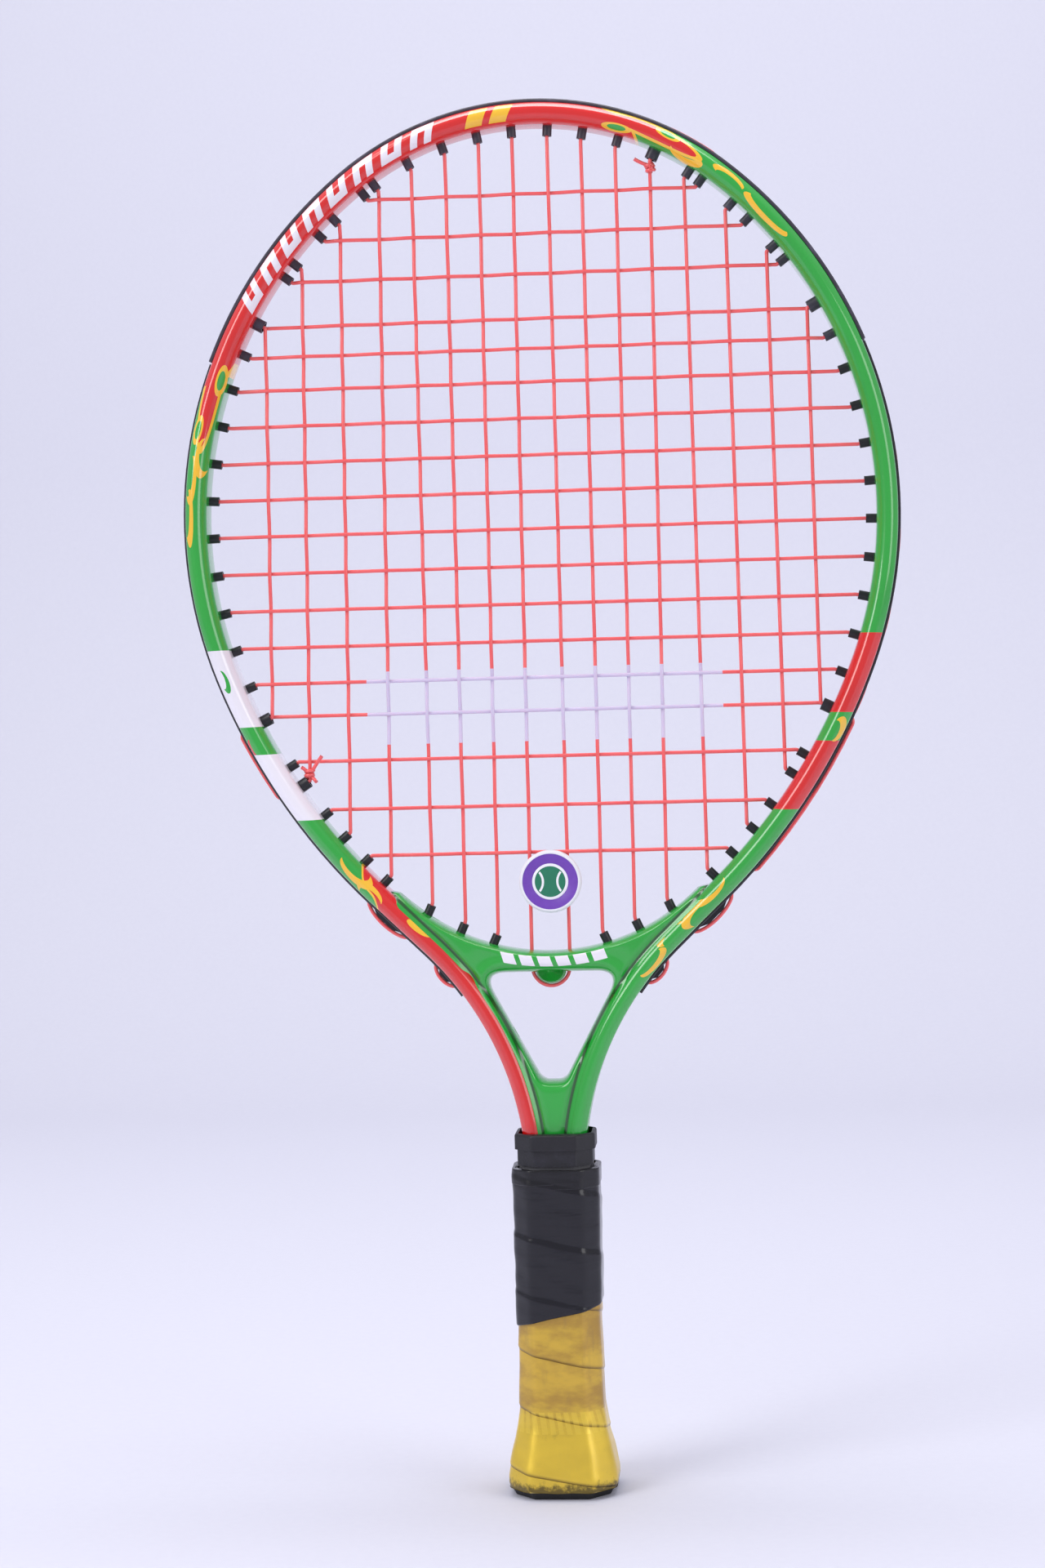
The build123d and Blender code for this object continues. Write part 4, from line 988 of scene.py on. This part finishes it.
def bandPiece(name, replaced, material, footLevel, topLevel, out, wall, rough, seed):
    # a closed sleeve round the handle between two edges, each a function of the angle
    angle = np.linspace(0, tau, 288, endpoint=False) - math.pi / 2
    share = np.linspace(0, 1, 150)
    foot, top = footLevel(angle), topLevel(angle)
    around, rise = np.meshgrid(angle, share, indexing="ij")
    z = foot[:, None] + (top - foot)[:, None] * rise
    radius = gripRadius(around, z, out) + wrapSwell(around, z, 1.2) * rough
    radius = radius + ripple(around, z, seed, 0.09 * rough)
    edge = np.minimum(z - foot[:, None], top[:, None] - z)
    radius = radius - 0.25 * (1 - rounded(edge, 0.5, 2.0))
    grid = np.concatenate([aroundHandle(radius, around, z),
                           aroundHandle(radius - wall, around, z)[:, ::-1]], axis=1)
    faces = gridFaces(*grid.shape[:2], True, True)
    return makePiece(name, "racket", replaced, material, grid.reshape(-1, 3), faces)


def filmMaterial(name, tone, roughLow):
    # thin shrunk film: dark, shiny and creased
    recipe = Recipe(name)
    x, y, z = recipe.place()
    dust = recipe.noise(160, 5.0, 0.7, (1, 1, 0.5))
    fine = recipe.noise(1500, 3.0, 0.6)
    base = recipe.mix(dust.ramp(0.58, 0.85) * 0.22, tone, colour(60, 58, 78))
    creases = recipe.noise(95, 3.0, 0.55, (0.35, 0.35, 1.6))
    return recipe.finish(color=base, roughness=roughLow + dust * 0.16, specular=0.35, coat=0.25, coatRough=0.10,
                         normal=recipe.bump(creases * 0.8 + fine * 0.05, 0.55, 0.0012))


blackFilm = filmMaterial("black sleeve film", colour(16, 15, 24), 0.16)
slantRise = math.tan(math.radians(sleeve["slant"]))


def sleeveFoot(angle):
    reach = gripRadius(angle, np.full_like(angle, sleeve["footZ"]))
    return sleeve["footZ"] + slantRise * reach * np.cos(angle) + 0.25 * np.sin(3 * angle + 1)


bandPiece("gripSleeve", ["grip_sleeve"], blackFilm, sleeveFoot,
          lambda angle: np.full_like(angle, sleeve["topZ"]), sleeve["out"], 0.5, 1.0, 21)
blackTape = filmMaterial("black tape", colour(14, 13, 20), 0.22)
bandPiece("finishingTape", ["finishing_tape"], blackTape,
          lambda angle: 107.6 + 1.6 * angle / tau, lambda angle: np.full_like(angle, 113.9), 0.62, 1.9, 0.7, 33)
print("handle done")

# ---- dampener
damper = {"x": 0.8, "z": 213.3, "radius": 10.85, "front": -6.4, "back": -2.2,
          "neckLow": 206.0, "neckHigh": 220.4, "seamCentre": 7.6, "seamRadius": 5.1}


def discPiece(name, body, material, profile, centre, replaced=(), steps=96):
    # a turned shape about an axis along Y: profile is (radius, y) from the front's middle to the back's
    profile = np.array(profile, float)
    angle = np.linspace(0, tau, steps, endpoint=False)
    x = centre[0] + np.cos(angle)[:, None] * profile[None, :, 0]
    z = centre[1] + np.sin(angle)[:, None] * profile[None, :, 0]
    y = np.broadcast_to(profile[None, :, 1], x.shape)
    points = np.stack([x, y, z], axis=2).reshape(-1, 3)
    faces = gridFaces(steps, len(profile), True, False)
    return makePiece(name, body, list(replaced), material, points, faces, weld=0.001)


def damperRubber():
    recipe = Recipe("white dampener rubber")
    x, y, z = recipe.place()
    sideways, up = x - damper["x"], z - damper["z"]
    far = (sideways * sideways + up * up).root()
    face = y < damper["front"] + 0.75
    purple = face * (far > 6.25) * (far < 9.65)
    speck = recipe.noise(500, 4.0, 0.7)
    base = recipe.mix(speck.ramp(0.62, 0.8) * 0.25, colour(232, 231, 238), colour(176, 172, 182))
    violet = recipe.mix(speck, colour(104, 58, 166), colour(120, 72, 184))
    base = recipe.mix(purple, base, violet)
    return recipe.finish(color=base, roughness=0.38 + speck * 0.12, subsurface=0.1, scatter=(0.6, 0.6, 0.6),
                         scatterScale=0.001, normal=recipe.bump(speck, 0.12, 0.0003))


def damperBadge():
    recipe = Recipe("dampener badge")
    x, y, z = recipe.place()
    across, up = x - damper["x"], z - damper["z"]
    far = (across * across + up * up).root()

    def seam(centre):
        # a thin arc of a circle about a point beside the badge
        shift = across - centre
        return abs((shift * shift + up * up).root() - damper["seamRadius"]) < 0.38

    lines = seam(-damper["seamCentre"]).most(seam(damper["seamCentre"])) * (far < 5.0)
    ringLine = (far > 5.35) * (far < 6.3)
    speck = recipe.noise(600, 3.0)
    base = recipe.mix(speck, colour(24, 112, 84), colour(30, 124, 92))
    height = lines.most(ringLine)
    base = recipe.mix(height, base, colour(238, 238, 242))
    return recipe.finish(color=base, roughness=0.30 + speck * 0.08, coat=0.3, coatRough=0.15,
                         normal=recipe.bump(height, 0.4, 0.0003))


damperWhite = damperRubber()
radius, faceY, backY = damper["radius"], damper["front"], damper["back"]


def profileFrom(y, steps):
    # points of a turned profile as (radius, y), each step measured back from y
    return [(reach, y + depth) for reach, depth in steps]


rimProfile = profileFrom(faceY, [(0.0, 0.62), (6.0, 0.62), (6.25, 0.58), (6.4, 0.40), (9.3, 0.34), (9.55, 0.26),
                                 (9.7, 0.06), (9.95, 0.0), (10.25, 0.12), (10.55, 0.4), (10.78, 0.85),
                                 (radius, 1.4)])
rimProfile += profileFrom(backY, [(radius, -1.2), (10.7, -0.6), (10.3, -0.15), (9.7, 0.0), (0.0, 0.0)])
badgeProfile = profileFrom(faceY, [(0.0, 0.16), (3.0, 0.18), (5.2, 0.22), (6.05, 0.28), (6.28, 0.42), (6.3, 0.66),
                                   (6.0, 0.8), (0.0, 0.8)])
discPiece("dampenerDisc", "dampener", damperWhite, rimProfile, (damper["x"], damper["z"]),
          ["dampener_body"])
discPiece("dampenerBadge", "dampener", damperBadge(), badgeProfile, (damper["x"], damper["z"]),
          ["dampener_badge"])


def dampenerNeck():
    # the clip behind the disc: a waisted outline round the two mains, carried between two heights
    half = [(5.6, backY - 0.3), (5.85, -1.45), (5.75, -0.68), (5.95, 0.05), (8.1, 0.3), (8.35, 1.1), (7.9, 1.95)]
    rounds = [0.2, 0.3, 0.35, 0.25, 0.3, 0.35, 0.4]
    outline = roundedOutline(half + [(-x, y) for x, y in reversed(half)], rounds + rounds[::-1], 5)
    rows, columns = 25, len(outline)
    share = np.linspace(0, 1, rows)
    tall = damper["neckHigh"] - damper["neckLow"]
    pull = 1 - 0.09 * (1 - rounded(np.minimum(share, 1 - share) * tall, 1.4, 2.2))
    z = damper["neckLow"] + tall * share
    points = np.stack([outline[None, :, 0] * pull[:, None], np.broadcast_to(outline[None, :, 1], (rows, columns)),
                       np.broadcast_to(z[:, None], (rows, columns))], axis=2)
    return makePiece("dampenerClip", "dampener", [], damperWhite, points.reshape(-1, 3),
                     gridFaces(rows, columns, False, True), endCaps(rows, columns))


dampenerNeck()
print("dampener done")


# ---- finishes of the carried parts
def mouldedMaterial(name, tone, light, rough, grainScale, grain):
    recipe = Recipe(name)
    dust = recipe.noise(120, 5.0, 0.65)
    fine = recipe.noise(grainScale, 3.0, 0.6)
    base = recipe.mix(dust.ramp(0.45, 0.80) * 0.45, tone, light)
    return recipe.finish(color=base, roughness=rough + dust * 0.18, normal=recipe.bump(fine, grain, 0.0003))


def metalMaterial(name, tone, rough):
    recipe = Recipe(name)
    brushed = recipe.noise(900, 3.0, 0.6, (1, 1, 0.1))
    return recipe.finish(color=recipe.mix(brushed, tone, colour(150, 150, 156)), metallic=1.0,
                         roughness=rough + brushed * 0.15, normal=recipe.bump(brushed, 0.2, 0.0002))


moulded = {
    "bumper_guard": ("bumper plastic", (52, 48, 60), (104, 98, 122), 0.34, 1100, 0.25),
    "left_grommet_strip": ("grommet plastic", (18, 18, 24), (46, 46, 58), 0.32, 1300, 0.2),
    "handle_pallet_front": ("pallet foam", (96, 96, 100), (130, 130, 134), 0.6, 800, 0.4),
    "butt_cap": ("butt cap plastic", (20, 20, 22), (52, 50, 50), 0.42, 900, 0.3),
    "grip_collar": ("collar rubber", (22, 21, 28), (58, 56, 72), 0.40, 1000, 0.25)}
carried = {node: mouldedMaterial(name, colour(*tone), colour(*light), rough, grainScale, grain)
           for node, (name, tone, light, rough, grainScale, grain) in moulded.items()}
carried["handle_rivets"] = metalMaterial("rivet aluminium", colour(196, 196, 202), 0.30)
carried["butt_cap_staples"] = metalMaterial("staple steel", colour(170, 170, 176), 0.25)
carried["right_grommet_strip"] = carried["throat_grommets"] = carried["left_grommet_strip"]
carried["handle_pallet_back"] = carried["handle_pallet_front"]


def badgeMaterial():
    recipe = Recipe("butt badge")
    x, y, z = recipe.place()
    far = (x * x + y * y).root()
    ringLine = (far > 8.2) * (far < 9.2)
    speck = recipe.noise(400, 3.0)
    base = recipe.mix(speck, colour(226, 226, 230), colour(212, 212, 218))
    base = recipe.mix(ringLine, base, paint["green"])
    return recipe.finish(color=base, roughness=0.3 + speck * 0.1, coat=0.3,
                         normal=recipe.bump(ringLine, 0.3, 0.0002))


carried["butt_end_badge"] = badgeMaterial()
for name, material in carried.items():
    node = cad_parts[name]
    node.data.materials.clear()
    node.data.materials.append(material)
print("carried parts finished:", len(carried))


# ---- studio
studio = {"floorColor": colour(214, 214, 226), "worldColor": (0.90, 0.90, 1.0, 1.0), "worldStrength": 0.56}


def makeStudio():
    # floor and wall in one sweep: flat, then a quarter circle, then upright
    span = np.linspace(-2.2, 2.2, 3)
    bend = np.linspace(0, math.pi / 2, 24)
    depth = np.concatenate([[-1.6], 0.9 + 0.5 * np.sin(bend), [1.4]])
    height = np.concatenate([[0.0], 0.5 * (1 - np.cos(bend)), [2.6]])
    points = np.stack([np.repeat(span, len(depth)), np.tile(depth, 3), np.tile(height, 3)], axis=1)
    mesh = bpy.data.meshes.new("studioFloor")
    mesh.from_pydata(points.tolist(), [], gridFaces(3, len(depth), False, False).tolist())
    mesh.polygons.foreach_set("use_smooth", [True] * len(mesh.polygons))
    floor = bpy.data.objects.new("studioFloor", mesh)
    bpy.context.scene.collection.objects.link(floor)
    recipe = Recipe("studio paper")
    grain = recipe.noise(300, 2.0)
    tone = recipe.mix(grain, studio["floorColor"], colour(210, 210, 223))
    mesh.materials.append(recipe.finish(color=tone, roughness=0.9))


def areaLight(name, power, size, place, aim, tone=(1, 1, 1)):
    data = bpy.data.lights.new(name, "AREA")
    data.energy, data.color = power, tone
    data.shape = "RECTANGLE"
    data.size, data.size_y = size
    light = bpy.data.objects.new(name, data)
    bpy.context.scene.collection.objects.link(light)
    way = (Vector(aim) - Vector(place)).normalized()
    light.matrix_world = Matrix.Translation(place) @ way.to_track_quat("-Z", "Y").to_matrix().to_4x4()


makeStudio()
bpy.context.scene.view_settings.view_transform = "Standard"
world = bpy.data.worlds.new("studio")
world.use_nodes = True
world.node_tree.nodes["Background"].inputs[0].default_value = studio["worldColor"]
world.node_tree.nodes["Background"].inputs[1].default_value = studio["worldStrength"]
bpy.context.scene.world = world
areaLight("keyLight", 13, (0.7, 1.2), (-1.0, -0.9, 1.1), (0, 0, 0.28))
areaLight("fillLight", 6, (0.9, 0.9), (1.2, -0.7, 0.6), (0, 0, 0.28))
areaLight("topLight", 8, (1.2, 0.6), (0.0, 0.1, 1.6), (0, 0.1, 0.25))
areaLight("wallLight", 10, (2.0, 0.5), (0.0, 0.1, 1.9), (0, 1.4, 0.6))
print("studio done")
